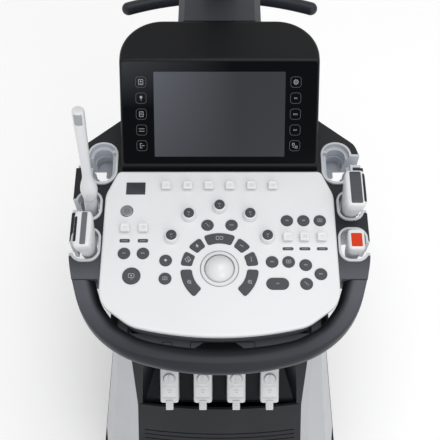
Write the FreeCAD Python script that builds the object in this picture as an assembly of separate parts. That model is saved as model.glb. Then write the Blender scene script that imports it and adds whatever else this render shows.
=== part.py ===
import FreeCAD, Part
import math
import os
from FreeCAD import Vector

# Ultrasound machine on a cart. Millimetres, +Z up, the user stands at -Y.
# The origin is on the floor, under the middle of the footprint.

# ---- driving dimensions ----
FOOT_HALF_WIDTH = 262.0
FOOT_HALF_DEPTH = 430.0

CONSOLE_TILT = 7.0
BALL_Y = -260.0
BALL_Z = 880.0
BALL_RADIUS = 25.4
BALL_DEPTH = 10.0
RING_OUTER = 30.5
RING_INNER = 24.2

PANEL_TOP = 0.0
PANEL_BOTTOM = -8.0
PANEL_SKIN = 3.0
TRAY_TOP = -8.0
TRAY_BOTTOM = -48.0
TRAY_SKIN = 4.0
PAN_BOTTOM = -84.0
HANDLE_TOP = -9.0
HANDLE_BOTTOM = -44.0
HANDLE_END = -15.5
DRAWER_HALF = 166.0
DRAWER_FRONT = -122.0
DRAWER_BACK = 80.0
DRAWER_TOP = -54.0
DRAWER_BOTTOM = -76.0
KEY_PITCH = 21.0
KEY_ROWS = 5
KEY_COLUMNS = 14

KEY_TOP = 1.6
KEY_BOTTOM = -5.0
KEY_GAP = 0.4
ARC_INNER = 45.0
ARC_OUTER = 63.0
SMALL_KEY = 10.0
FREEZE_KEY = 14.5

ENCODER_SKIRT = 12.0
ENCODER_CAP = 8.6
ENCODER_HEIGHT = 10.0
PADDLE_WIDTH = 16.0
PADDLE_LENGTH = 15.0
PADDLE_PIVOT = -1.5

TOUCH_TILT = 46.0
TOUCH_Y = -76.0
TOUCH_Z = 906.0
TOUCH_LOW = 4.0
TOUCH_HIGH = 184.0
TOUCH_HALF_WIDTH = 168.5
HOOD_BACK = 135.0
HOOD_RISE = 8.0
HOOD_CORNER = 72.0

SWIVEL_Y = 60.0
COLUMN_TUBE = 110.0
LIFT_TUBE = 90.0
CART_TOP = 745.0
CART_BACK = 370.0
COVER_BOTTOM = 215.0
SEAM_Z = 505.0
CART_SKIN = 4.0
FRONT_BOW = 12.0
GROOVE_TOP = 408.0
GROOVE_PITCH = 16.0
GROOVE_COUNT = 11
GROOVE_HEIGHT = 4.0
GROOVE_DEPTH = 1.2
GROOVE_MARGIN = 13.0
BASE_BOTTOM = 140.0
REAR_HALF = 156.0
POST_PLACES = [(x, y) for x in (-130, 130) for y in (-150, 300)]
SCREW_PLACES = [(x, z) for x in (-142, 142) for z in (235, 380, 520, 640, 725)]
FAN_PLACE = (0.0, 320.0, 450.0)
REAR_BAR_HALF = 185.0
REAR_BAR_Z = 896.0
REAR_BAR_RADIUS = 13.0

RECESS_HALF = 150.0
RECESS_BACK_HALF = 126.0
PORT_PITCH = 64.5
PORT_SLOPE = 45.0
PORT_FOOT = (-338.0, 498.0)
PORT_RUN = 128.0
PLUG_WIDTH = 36.0
PLUG_LENGTH = 95.0
PLUG_HEIGHT = 28.0

WHEEL_RADIUS = 62.5
WHEEL_WIDTH = 32.0
CASTER_X = 212.0
CASTER_FRONT = -335.0
CASTER_REAR = 330.0
CASTER_TRAIL = 35.0
CASTERS = {
    "front_left": (-CASTER_X, CASTER_FRONT),
    "front_right": (CASTER_X, CASTER_FRONT),
    "rear_left": (-CASTER_X, CASTER_REAR),
    "rear_right": (CASTER_X, CASTER_REAR),
}
PEDAL_Y = -34.0
PEDAL_Z = 122.0
RUNNING_GAP = 0.05

ARM_Y = 218.0
ARM_RADIUS = 30.0
MONITOR_PIVOT_Y = 150.0
MONITOR_TILT_Y = 112.0
MONITOR_TILT_Z = 1362.0
MONITOR_HALF_WIDTH = 260.0
MONITOR_LOW = 1180.0
MONITOR_HIGH = 1500.0
MONITOR_FRONT = 55.0
MONITOR_BACK = 95.0

X_AXIS = Vector(1, 0, 0)
Y_AXIS = Vector(0, 1, 0)
Z_AXIS = Vector(0, 0, 1)
ORIGIN = Vector(0, 0, 0)

# ---- where the controls sit on the panel: (x, distance up the panel) ----
ENCODERS = {
    "encoder_rear": (0, 111.5),
    "encoder_rear_left": (-51, 96),
    "encoder_rear_right": (51, 96),
    "encoder_left": (-79, 55.5),
    "encoder_right": (79, 55.5),
}
ROUND_KEYS = [
    (-20, 78), (20, 78),
    (-156, 26.7), (-125, 26.7), (-87.6, 14.1), (-87.6, -17.6),
    (112.3, 86.4), (139.8, 86.4), (167.1, 86.4),
    (85.4, 11.6), (112.2, 11.6), (139.7, 6), (163.4, -9.8), (139.5, -26.7),
]
FREEZE_PLACE = (-142, -13)
WIDE_KEY_PLACE = (93.2, -26.5)
WIDE_KEY_SIZE = (36.0, 20.0)
POWER_PLACE = (-155.4, 104.4)
ARC_KEYS = [(66, 114), (121, 143), (37, 59), (151.5, 174.5), (5.5, 28.5)]
SET_KEYS = [(182.5, 230), (-50, -2.5)]
MENU_PADDLES = [-90.5, -54, -18, 18, 54, 90.5]
MENU_PADDLE_ROW = 151.0
LEFT_PADDLES = [-156, -126]
LEFT_PADDLE_ROW = 71.0
RIGHT_PADDLES = [112.2, 139.7, 168.2]
RIGHT_PADDLE_ROW = 54.5

# ---- cups along the console's arms: (x, y, width, length, slot's y) ----
PROBE_CUPS = [(221, 118, 46, 56, 118), (221, 46, 50, 62, 39)]
GEL_CUP = (203.5, 201.5, 54, 84, 206)
CUP_RIM = -4.0
CUP_BOTTOM = -62.0
CUP_RIM_ROUND = 1.2
CUP_WALL = 4.0
CUP_STEP = 2.0
GEL_FLOOR = -56.0
GEL_HOLE = (203.5, 188.5, 28, 27, 10)
GEL_TAB = (180, 187, 222, 227, -15, -5.5)
CUP_CORNER = 20.0
CUP_SLOT = 18.0
CHEEK_END = 247.5
GEL_CHEEK_END = 244.5

# ---- probes ----
PROBE_FOOT = -55.0
ROD_LEAN_BACK = 15.0
ROD_LEAN_IN = 2.0
ROD_ROOT = -30.0
ROD_PROFILE = [
    (9.5, -24), (11, -20), (11.5, 38), (12.5, 44), (14.3, 56), (14.0, 64), (8.6, 82), (7.8, 100),
    (9.6, 214), (9.8, 224), (7.5, 231),
]


# ---- small helpers ----
def polygon(corners):
    """A flat face in XY through corners (x, y, radius), each corner rounded by its radius."""
    arcs = []
    for i, (x, y, radius) in enumerate(corners):
        here = Vector(x, y, 0)
        before = Vector(corners[i - 1][0], corners[i - 1][1], 0) - here
        following = corners[(i + 1) % len(corners)]
        after = Vector(following[0], following[1], 0) - here
        before.normalize()
        after.normalize()
        if radius == 0:
            arcs.append((here, None, here))
            continue
        half = before.getAngle(after) / 2
        reach = radius / math.tan(half)
        inward = before + after
        inward.normalize()
        middle = here + inward * (radius / math.sin(half) - radius)
        arcs.append((here + before * reach, middle, here + after * reach))
    edges = []
    for i, (start, middle, end) in enumerate(arcs):
        if middle is not None:
            edges.append(Part.Arc(start, middle, end).toShape())
        next_start = arcs[(i + 1) % len(arcs)][0]
        if end.distanceToPoint(next_start) > 1e-6:
            edges.append(Part.LineSegment(end, next_start).toShape())
    return Part.Face(Part.Wire(edges))


def both_sides(right_half):
    """The whole outline of a shape that is the same left and right, from its right half."""
    left_half = [(-x, y, r) for x, y, r in reversed(right_half) if x != 0]
    return right_half + left_half


def slab(corners, low, high):
    """An outline in XY, as a solid from z = low to z = high."""
    face = polygon(corners)
    face.translate(Vector(0, 0, low))
    return face.extrude(Vector(0, 0, high - low))


def inset_slab(corners, inset, low, high):
    """As slab, with the outline moved inwards."""
    face = polygon(corners).makeOffset2D(-inset)
    face.translate(Vector(0, 0, low))
    return face.extrude(Vector(0, 0, high - low))


def rounded_rectangle(x, y, width, length, radius):
    """Corners of a rectangle round (x, y)."""
    signs = [(1, -1), (1, 1), (-1, 1), (-1, -1)]
    return [(x + sx * width / 2, y + sy * length / 2, radius) for sx, sy in signs]


def box(x0, x1, y0, y1, z0, z1):
    """A plain block between two corners."""
    return Part.makeBox(x1 - x0, y1 - y0, z1 - z0, Vector(x0, y0, z0))


def rod(radius, start, end):
    """A round bar from start to end."""
    along = end - start
    return Part.makeCylinder(radius, along.Length, start, along)


def side_profile(points, half_width):
    """A solid with an outline in the (y, z) plane, as wide as 2 * half_width in x."""
    corners = [Vector(-half_width, y, z) for y, z in points]
    face = Part.Face(Part.makePolygon(corners + corners[:1]))
    return face.extrude(Vector(2 * half_width, 0, 0))


def joined(solids):
    """One solid from overlapping ones."""
    return solids[0].fuse(solids[1:]).removeSplitter()


def group(solids):
    """Separate pieces that share a node."""
    return Part.makeCompound(solids)


def edges_at_height(solid, z):
    """The edges of a solid that lie flat at a height."""
    flat = []
    for edge in solid.Edges:
        span = edge.BoundBox
        if abs(span.ZMin - z) < 0.01 and abs(span.ZMax - z) < 0.01:
            flat.append(edge)
    return flat


def on_console(shape):
    """From the panel's own frame (ball centre, tilted) to the machine's frame."""
    placed = shape.copy()
    placed.rotate(ORIGIN, X_AXIS, CONSOLE_TILT)
    placed.translate(Vector(0, BALL_Y, BALL_Z))
    return placed


def on_touch_face(shape):
    """From the touch screen's own frame (lower edge, y up the face) to the machine's frame."""
    placed = shape.copy()
    placed.rotate(ORIGIN, X_AXIS, TOUCH_TILT)
    placed.translate(Vector(0, TOUCH_Y, TOUCH_Z))
    return placed


def mirrored(shape):
    """The same shape on the machine's other side."""
    return shape.mirror(ORIGIN, X_AXIS)


# ---- outlines of the console, in the panel's own frame ----
PANEL_OUTLINE = both_sides([
    (0, -128.5, 560), (140, -97, 60), (193.5, -58, 45), (193.5, 136, 40), (174, 182, 10),
])
TRAY_OUTLINE = both_sides([
    (0, -122, 560), (137, -91, 50), (185, -54, 40), (198, HANDLE_END + 0.5, 0), (240, HANDLE_END + 0.5, 0),
    (249, 25, 200), (249, 203, 60), (238, 240, 25), (168, 299, 30), (150, 330, 20), (140, 400, 60),
])
PAN_OUTLINE = both_sides([
    (178, -84, 10), (182, 285, 20), (140, 310, 20), (136, 397, 50),
])
GRIP_INNER = [(122, -113, 90), (163, -91, 50), (190, -55, 70), (203, HANDLE_END, 0)]
GRIP_OUTER = [(240, HANDLE_END, 0), (227, -62, 160), (200, -106, 140), (150, -142, 170), (90, -159, 400)]
GRIP_LEFT = [(-x, y, r) for x, y, r in reversed(GRIP_INNER + GRIP_OUTER)]
GRIP_OUTLINE = [(0, -138, 500)] + GRIP_INNER + GRIP_OUTER + [(0, -171, 450)] + GRIP_LEFT


# ---- controls, in the panel's own frame ----
def round_key(x, y, radius, grow=0.0, low=KEY_BOTTOM, high=KEY_TOP):
    """A round push button, or the hole for it when grow is the gap round it."""
    return Part.makeCylinder(radius + grow, high - low, Vector(x, y, low))


def softened_key(x, y, radius):
    """A round push button with a rounded top edge."""
    key = round_key(x, y, radius)
    return key.makeFillet(1.2, edges_at_height(key, KEY_TOP))


def polar(radius, degrees):
    """A point on the panel by radius and angle round the ball."""
    turn = math.radians(degrees)
    return Vector(radius * math.cos(turn), radius * math.sin(turn), 0)


def arc_key(start, end, grow=0.0, low=KEY_BOTTOM, high=KEY_TOP):
    """A button that curves round the ball between two angles."""
    inner = ARC_INNER - grow
    outer = ARC_OUTER + grow
    spare = math.degrees(grow / ARC_INNER)
    first = start - spare
    last = end + spare
    middle = (first + last) / 2
    edges = [
        Part.Arc(polar(inner, first), polar(inner, middle), polar(inner, last)).toShape(),
        Part.LineSegment(polar(inner, last), polar(outer, last)).toShape(),
        Part.Arc(polar(outer, last), polar(outer, middle), polar(outer, first)).toShape(),
        Part.LineSegment(polar(outer, first), polar(inner, first)).toShape(),
    ]
    face = Part.Face(Part.Wire(edges))
    face.translate(Vector(0, 0, low))
    key = face.extrude(Vector(0, 0, high - low))
    corners = [e for e in key.Edges if e.BoundBox.ZLength > (high - low) / 2]
    key = key.makeFillet(4.0, corners)
    if grow == 0:
        key = key.makeFillet(1.0, edges_at_height(key, high))
    return key


def wide_key(grow=0.0, low=KEY_BOTTOM, high=KEY_TOP):
    """The stadium-shaped button."""
    width = WIDE_KEY_SIZE[0] + 2 * grow
    length = WIDE_KEY_SIZE[1] + 2 * grow
    outline = rounded_rectangle(*WIDE_KEY_PLACE, width, length, length / 2 - 0.01)
    key = slab(outline, low, high)
    if grow == 0:
        key = key.makeFillet(1.2, edges_at_height(key, high))
    return key


def encoder(x, y):
    """A rotary knob: a flared skirt, and a darker cap on top."""
    skirt = Part.makeCylinder(ENCODER_SKIRT, ENCODER_HEIGHT - 0.8, Vector(x, y, 0.8))
    skirt = skirt.makeFillet(2.0, edges_at_height(skirt, ENCODER_HEIGHT))
    shaft = Part.makeCylinder(3.0, 6.0, Vector(x, y, -5.0))
    cap = Part.makeCylinder(ENCODER_CAP, 3.0, Vector(x, y, ENCODER_HEIGHT))
    cap = cap.makeFillet(0.8, edges_at_height(cap, ENCODER_HEIGHT + 3.0))
    return group([joined([skirt, shaft]), cap])


def paddle(x, y):
    """A rocking paddle switch on a narrow stem, with a round hub on its rocking axis."""
    head = slab(rounded_rectangle(x, y, PADDLE_WIDTH, PADDLE_LENGTH, 2.5), 5.0, 9.5)
    head = head.makeFillet(1.4, edges_at_height(head, 9.5))
    stem = box(x - 3, x + 3, y - 1.5, y + 1.5, PADDLE_PIVOT, 6.0)
    hub = rod(2.5, Vector(x - 3.2, y, PADDLE_PIVOT), Vector(x + 3.2, y, PADDLE_PIVOT))
    return joined([head, stem, hub])


def paddle_row(places, row):
    """Paddles side by side on one rocking axis."""
    return group([paddle(x, row) for x in places])


def control_holes():
    """Everything that the panel is cut away for."""
    low = PANEL_BOTTOM - 1
    high = PANEL_TOP + 1
    holes = [round_key(x, y, SMALL_KEY, KEY_GAP, low, high) for x, y in ROUND_KEYS]
    holes.append(round_key(*FREEZE_PLACE, FREEZE_KEY, KEY_GAP, low, high))
    holes.append(round_key(*POWER_PLACE, SMALL_KEY, KEY_GAP, low, high))
    holes.append(wide_key(KEY_GAP, low, high))
    holes += [arc_key(a, b, KEY_GAP, low, high) for a, b in ARC_KEYS + SET_KEYS]
    holes += [round_key(x, y, 3.5, 0, low, high) for x, y in ENCODERS.values()]
    rows = [
        (MENU_PADDLES, MENU_PADDLE_ROW),
        (LEFT_PADDLES, LEFT_PADDLE_ROW),
        (RIGHT_PADDLES, RIGHT_PADDLE_ROW),
    ]
    for places, row in rows:
        holes += [box(x - 3.5, x + 3.5, row - 4, row + 4, low, high) for x in places]
    holes.append(Part.makeCylinder(RING_OUTER + 0.1, high - low, Vector(0, 0, low)))
    return holes


def control_panel():
    """The white moulded panel, a shallow shell open underneath."""
    shell = slab(PANEL_OUTLINE, PANEL_BOTTOM, PANEL_TOP)
    shell = shell.makeFillet(4.0, edges_at_height(shell, PANEL_TOP))
    hollow = inset_slab(PANEL_OUTLINE, PANEL_SKIN, PANEL_BOTTOM - 1, PANEL_TOP - PANEL_SKIN)
    return shell.cut([hollow] + control_holes())


def trackball_ring():
    """The ring that holds the ball, with a seat under it."""
    ring = Part.makeCylinder(RING_OUTER, 9.0, Vector(0, 0, PANEL_BOTTOM))
    ring = ring.makeChamfer(0.9, edges_at_height(ring, PANEL_BOTTOM + 9.0))
    bore = Part.makeCylinder(RING_INNER, 20.0, Vector(0, 0, PANEL_BOTTOM - 2))
    ball_room = Part.makeSphere(BALL_RADIUS + 0.4, Vector(0, 0, -BALL_DEPTH))
    return ring.cut([bore, ball_room])


def trackball():
    """The ball, a little over half sunk."""
    return Part.makeSphere(BALL_RADIUS, Vector(0, 0, -BALL_DEPTH))


# ---- console shells, in the panel's own frame ----
def cup_outline(cup, grow=0.0):
    """The outside of a cup at its rim."""
    x, y, width, length, _ = cup
    corner = CUP_CORNER if width < 52 else width / 2 - 1
    return rounded_rectangle(x, y, width + 2 * grow, length + 2 * grow, corner + grow)


def cup_slot(cup, width):
    """The gap in a cup's outer side that a cable passes."""
    x, _, _, _, slot_y = cup
    return box(x, x + 80, slot_y - width / 2, slot_y + width / 2, CUP_BOTTOM - 5, 20)


def cup_channel(cup, grow, end, low, high):
    """The block round a cup's slot, out to the tray's edge; its two sides are the slot's cheeks."""
    x, _, _, _, slot_y = cup
    half = CUP_SLOT / 2 + CUP_WALL + grow
    return box(x, end, slot_y - half, slot_y + half, low, high)


def cup_block(cup):
    """A cup as a solid with a rounded rim, and its cheeks, which stop just below the rounding."""
    body = slab(cup_outline(cup), CUP_BOTTOM, CUP_RIM)
    body = body.makeFillet(CUP_RIM_ROUND, edges_at_height(body, CUP_RIM))
    end = CHEEK_END if cup[0] > 210 else GEL_CHEEK_END
    cheeks = cup_channel(cup, 0, end, CUP_BOTTOM + 20, CUP_RIM - CUP_RIM_ROUND - 0.1)
    return joined([body, cheeks])


def probe_cup(cup):
    """An open-bottomed cup with a step inside and a cable slot."""
    shell = cup_block(cup)
    mouth = slab(cup_outline(cup, -CUP_WALL), CUP_RIM - 16, CUP_RIM + 1)
    throat = slab(cup_outline(cup, -CUP_WALL - CUP_STEP), CUP_BOTTOM - 1, CUP_RIM)
    return shell.cut([mouth, throat, cup_slot(cup, CUP_SLOT)])


def gel_cup(cup):
    """A large cup with steps inside, a hole in the front half of its floor, a tab and a slot."""
    shell = cup_block(cup)
    mouth = slab(cup_outline(cup, -CUP_WALL), CUP_RIM - 10, CUP_RIM + 1)
    bowl = slab(cup_outline(cup, -CUP_WALL - 3 * CUP_STEP), CUP_RIM - 30, CUP_RIM)
    throat = slab(cup_outline(cup, -CUP_WALL - 4 * CUP_STEP), GEL_FLOOR, CUP_RIM)
    hole = slab(rounded_rectangle(*GEL_HOLE), CUP_BOTTOM - 1, CUP_RIM)
    shell = shell.cut([mouth, bowl, throat, hole, cup_slot(cup, CUP_SLOT)])
    return joined([shell, box(*GEL_TAB)])


def cup_holes():
    """Room for the six cups and their slots."""
    holes = []
    for cup in PROBE_CUPS + [GEL_CUP]:
        hole = slab(cup_outline(cup, 0.3), CUP_BOTTOM - 5, 20)
        holes += [hole, mirrored(hole)]
        channel = cup_channel(cup, 0.3, 300, CUP_BOTTOM - 5, 20)
        holes += [channel, mirrored(channel)]
    return holes


def console_tray():
    """The dark surround, with arms that carry the cups."""
    shell = slab(TRAY_OUTLINE, TRAY_BOTTOM, TRAY_TOP)
    hollow = inset_slab(TRAY_OUTLINE, TRAY_SKIN, TRAY_BOTTOM - 1, TRAY_TOP - TRAY_SKIN)
    ball_hole = Part.makeCylinder(36, 30, Vector(0, 0, -30))
    wire_hole = box(-60, 60, 230, 280, -30, 0)
    return shell.cut([hollow, ball_hole, wire_hole] + cup_holes())


def console_base():
    """The underside: a flat flange, a pan for the drawer and electronics, and the swivel hub."""
    flange = slab(TRAY_OUTLINE, TRAY_BOTTOM - 3, TRAY_BOTTOM - 0.05)
    flange_hole = inset_slab(PAN_OUTLINE, 8, TRAY_BOTTOM - 4, TRAY_BOTTOM + 1)
    front_gap = box(-174, 174, -140, -60, TRAY_BOTTOM - 4, TRAY_BOTTOM + 1)
    pan = slab(PAN_OUTLINE, PAN_BOTTOM, TRAY_BOTTOM - 1)
    pan_room = inset_slab(PAN_OUTLINE, 3, PAN_BOTTOM + 3, TRAY_BOTTOM + 1)
    drawer_door = box(-174, 174, -100, -70, PAN_BOTTOM + 3, TRAY_BOTTOM + 1)
    shell = joined([flange.cut([flange_hole, front_gap]), pan.cut([pan_room, drawer_door])])
    shell = on_console(shell.cut(cup_holes()))
    hub = Part.makeCylinder(74, 42, Vector(0, SWIVEL_Y, 790.5))
    return joined([shell, hub])


def front_handle():
    """The grip that loops round the front of the console."""
    grip = slab(GRIP_OUTLINE, HANDLE_BOTTOM, HANDLE_TOP)
    rims = edges_at_height(grip, HANDLE_TOP) + edges_at_height(grip, HANDLE_BOTTOM)
    rims = [e for e in rims if e.BoundBox.YMin < HANDLE_END - 1]
    return grip.makeFillet(9.0, rims)


def keyboard_tray():
    """The pull-out keyboard drawer."""
    drawer = slab([
        (-DRAWER_HALF, DRAWER_FRONT + 22, 6), (-70, DRAWER_FRONT, 60), (70, DRAWER_FRONT, 60),
        (DRAWER_HALF, DRAWER_FRONT + 22, 6), (DRAWER_HALF, DRAWER_BACK, 4), (-DRAWER_HALF, DRAWER_BACK, 4),
    ], DRAWER_BOTTOM, DRAWER_TOP)
    well = box(-150, 150, -92, 20, DRAWER_BOTTOM + 8, DRAWER_TOP + 1)
    return drawer.cut(well)


def keyboard_keys():
    """The keyboard's keys, one cap each, and a space bar."""
    caps = []
    for row in range(KEY_ROWS):
        for column in range(KEY_COLUMNS):
            if row == 0 and 3 <= column <= 9:
                continue
            x = (column - (KEY_COLUMNS - 1) / 2) * KEY_PITCH
            y = -79 + row * KEY_PITCH
            caps.append(box(x - 8.5, x + 8.5, y - 8.5, y + 8.5, DRAWER_BOTTOM + 11, DRAWER_TOP - 2))
    space_left = -4 * KEY_PITCH + 13
    space_right = 3 * KEY_PITCH - 2
    space = box(space_left, space_right, -87.5, -70.5, DRAWER_BOTTOM + 11, DRAWER_TOP - 2)
    return group(caps + [space])


# ---- touch screen housing and neck, in the machine's frame ----
def console_height(y, above):
    """Height of a point that lies above the panel plane by a distance, at a depth y."""
    slope = math.radians(CONSOLE_TILT)
    return BALL_Z + (y - BALL_Y) * math.tan(slope) + above / math.cos(slope)


def touch_block(inset, floor):
    """The wedge behind the touch screen, as a solid, moved inwards by inset."""
    tilt = math.radians(TOUCH_TILT)
    half = TOUCH_HALF_WIDTH - inset
    back = HOOD_BACK - inset
    corner = HOOD_CORNER - inset
    outline = [(-half, -150, 0), (half, -150, 0), (half, back, corner), (-half, back, corner)]
    plan = slab(outline, 800, 1200)
    shift = inset / math.sin(tilt)
    low_y = TOUCH_Y + TOUCH_LOW * math.cos(tilt) + shift
    low_z = TOUCH_Z + TOUCH_LOW * math.sin(tilt)
    high_y = TOUCH_Y + TOUCH_HIGH * math.cos(tilt) + shift
    high_z = TOUCH_Z + TOUCH_HIGH * math.sin(tilt)
    rise = math.tan(math.radians(HOOD_RISE))
    top_y = high_y - inset * 0.6
    top_z = high_z - inset * 0.6
    profile = [
        (low_y, console_height(low_y, floor)),
        (low_y, low_z),
        (top_y, top_z),
        (back + 10, top_z + (back + 10 - top_y) * rise),
        (back + 10, console_height(back + 10, floor)),
    ]
    return plan.common(side_profile(profile, 200))


def touch_housing():
    """The black housing that holds the touch screen, with its hood."""
    block = touch_block(0, TRAY_TOP + 0.1)
    hood = [e for e in block.Edges if e.BoundBox.ZMin > 1030 and e.BoundBox.YMax > 60]
    block = block.makeFillet(7.0, hood)
    wide = [e for e in block.Edges if e.BoundBox.XLength > 300]
    brow = [e for e in wide if e.BoundBox.ZMin > 1030 and e.BoundBox.YMax < 60]
    block = block.makeFillet(6.0, brow)
    glass_seat = on_touch_face(touch_plate(0.2, -3.0, 5.0))
    display_room = on_touch_face(box(-126, 126, 22, 176, -16, 1))
    return block.cut([touch_block(4.0, TRAY_TOP - 3), glass_seat, display_room])


def touch_plate(grow, low, high):
    """The glass outline, in the touch screen's own frame."""
    width = 2 * TOUCH_HALF_WIDTH - 8 + 2 * grow
    length = TOUCH_HIGH - TOUCH_LOW - 8 + 2 * grow
    outline = rounded_rectangle(0, (TOUCH_LOW + TOUCH_HIGH) / 2, width, length, 5)
    return slab(outline, low, high)


def touch_display():
    """The touch glass with the display module bonded behind it."""
    glass = touch_plate(0, -3.0, 0.3)
    module = box(-122, 122, 26, 172, -13, -3.0)
    return on_touch_face(joined([glass, module]))


def neck():
    """The beam behind the hood, and the post that the monitor arm turns on."""
    front = HOOD_BACK + 0.2
    outline = [(front, 975), (front, 1047), (235, 1047), (248, 1034), (248, 990), (235, 975)]
    beam = side_profile(outline, 72)
    long_edges = [e for e in beam.Edges if e.BoundBox.XLength < 0.1 and e.BoundBox.YLength > 90]
    beam = beam.makeChamfer(11, long_edges)
    post = Part.makeCylinder(ARM_RADIUS, 32, Vector(0, ARM_Y, 1040))
    pin = Part.makeCylinder(14, 40, Vector(0, ARM_Y, 1070))
    return joined([beam, post, pin])


# ---- monitor, in the machine's frame ----
def tapered_beam(low, low_size, high, high_size):
    """A straight limb between two upright rectangles' centres."""
    sections = []
    for centre, (width, depth) in ((low, low_size), (high, high_size)):
        outline = slab(rounded_rectangle(centre.x, centre.y, width, depth, 10), 0, 1)
        wire = outline.Faces[0].OuterWire
        for face in outline.Faces:
            if abs(face.CenterOfMass.z) < 0.001:
                wire = face.OuterWire
        wire.translate(Vector(0, 0, centre.z))
        sections.append(wire)
    return Part.makeLoft(sections, True, True)


def monitor_arm():
    """The limb that lifts the monitor, turning on the neck's post."""
    collar = Part.makeCylinder(ARM_RADIUS, 45, Vector(0, ARM_Y, 1072.5))
    collar = collar.makeFillet(5, edges_at_height(collar, 1072.5 + 45))
    limb = tapered_beam(Vector(0, ARM_Y, 1110), (50, 44), Vector(0, MONITOR_PIVOT_Y, 1330), (44, 40))
    top = Part.makeCylinder(24, 30, Vector(0, MONITOR_PIVOT_Y, 1312))
    pin = Part.makeCylinder(12, 40, Vector(0, MONITOR_PIVOT_Y, 1340))
    arm = joined([collar, limb, top, pin])
    return arm.cut(Part.makeCylinder(14 + RUNNING_GAP, 42, Vector(0, ARM_Y, 1070)))


def monitor_head():
    """The swivelling head with the tilt axle."""
    sleeve = Part.makeCylinder(24, 42, Vector(0, MONITOR_PIVOT_Y, 1342.5))
    bridge = box(-20, 20, MONITOR_TILT_Y, MONITOR_PIVOT_Y, 1350, 1374)
    knuckle = along_tilt_axis(13, -30, 30)
    axle = along_tilt_axis(8, -46, 46)
    head = joined([sleeve, bridge, knuckle, axle])
    return head.cut(Part.makeCylinder(12 + RUNNING_GAP, 39, Vector(0, MONITOR_PIVOT_Y, 1342)))


def along_tilt_axis(radius, x0, x1):
    """A round bar on the monitor's tilt axis."""
    return rod(radius, Vector(x0, MONITOR_TILT_Y, MONITOR_TILT_Z), Vector(x1, MONITOR_TILT_Y, MONITOR_TILT_Z))


def upright_slab(half_width, low, high, radius, front, back):
    """A plate standing in the XZ plane, from y = front to y = back."""
    outline = rounded_rectangle(0, (low + high) / 2, 2 * half_width, high - low, radius)
    plate = slab(outline, 0, back - front)
    plate.rotate(ORIGIN, X_AXIS, 90)
    plate.translate(Vector(0, back, 0))
    return plate


def monitor_housing():
    """The monitor's case, with two ears round the tilt axle."""
    back = MONITOR_BACK
    case = upright_slab(MONITOR_HALF_WIDTH, MONITOR_LOW, MONITOR_HIGH, 14, MONITOR_FRONT, back - 12)
    hump = upright_slab(150, MONITOR_LOW + 60, MONITOR_HIGH - 50, 40, back - 13, back)
    ears = []
    for side in (-1, 1):
        x0, x1 = sorted((side * 32, side * 44))
        ear = box(x0, x1, back - 2, MONITOR_TILT_Y, MONITOR_TILT_Z - 14, MONITOR_TILT_Z + 14)
        ears += [ear, along_tilt_axis(14, x0, x1)]
    body = joined([case, hump] + ears)
    bore = along_tilt_axis(8 + RUNNING_GAP, -48, 48)
    seat = screen_slab(7.0, -1.0, 3.0)
    return body.cut([bore, seat])


def screen_slab(margin, front, back):
    """The screen's outline as a plate, set back from the case's front."""
    half_width = MONITOR_HALF_WIDTH - margin
    low = MONITOR_LOW + 8 + margin
    high = MONITOR_HIGH - margin
    return upright_slab(half_width, low, high, 8, MONITOR_FRONT + front, MONITOR_FRONT + back)


def monitor_screen():
    """The monitor's front glass."""
    return screen_slab(7.2, 0.0, 2.9)


# ---- cart, in the machine's frame ----
def front_y(z):
    """The cart's front leans out towards the floor."""
    return -300 - (760 - z) * 100 / 530


def cover_half_width(z):
    """The cart's sides flare out towards the floor."""
    return 180 + (CART_TOP - z) * 0.151 if z > 300 else 254 - (z - COVER_BOTTOM) * 0.08


def front_half_width(z):
    """Half the width of the dark front between the side covers."""
    return 160 if z > 500 else 160 + (500 - z) * 0.065


def cover_section(z, inset):
    """A side cover's section at a height, from the front edge to the rear edge, moved in by inset."""
    edge = front_half_width(z)
    side = cover_half_width(z) - inset
    front = front_y(z) + inset
    back = CART_BACK - inset
    nose = (side - edge) * 0.75
    return [
        Vector(edge, front, z),
        Vector(side - nose, front + 1.5, z),
        Vector(side - nose * 0.3, front + nose * 0.35, z),
        Vector(side, front + nose + 8, z),
        Vector(side, back - 12, z),
        Vector(side - 4, back - 4, z),
        Vector(side - 12, back, z),
        Vector(REAR_HALF, back, z),
    ]


def side_cover():
    """The right side cover: a skin that wraps from the front edge to the rear edge."""
    wires = []
    for z in (COVER_BOTTOM, 300.0, 500.0, CART_TOP):
        outer = cover_section(z, 0)
        inner = cover_section(z, CART_SKIN)
        ring = outer + list(reversed(inner))
        wires.append(Part.makePolygon(ring + ring[:1]))
    return Part.makeLoft(wires, True, True)


def front_groove(z):
    """A shallow groove across the front cover, following its bow."""
    half = front_half_width(z)
    back = front_y(z + GROOVE_HEIGHT / 2) + GROOVE_DEPTH
    left, right, bow = Vector(-half, back, z), Vector(half, back, z), Vector(0, back - FRONT_BOW, z)
    out = Vector(0, -30, 0)
    wire = Part.Wire([
        Part.Arc(left, bow, right).toShape(),
        Part.LineSegment(right, right + out).toShape(),
        Part.LineSegment(right + out, left + out).toShape(),
        Part.LineSegment(left + out, left).toShape(),
    ])
    groove = Part.Face(wire).extrude(Vector(0, 0, GROOVE_HEIGHT))
    reach = half - GROOVE_MARGIN
    return groove.common(box(-reach, reach, back - 60, back + 10, z - 1, z + GROOVE_HEIGHT + 1))


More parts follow.
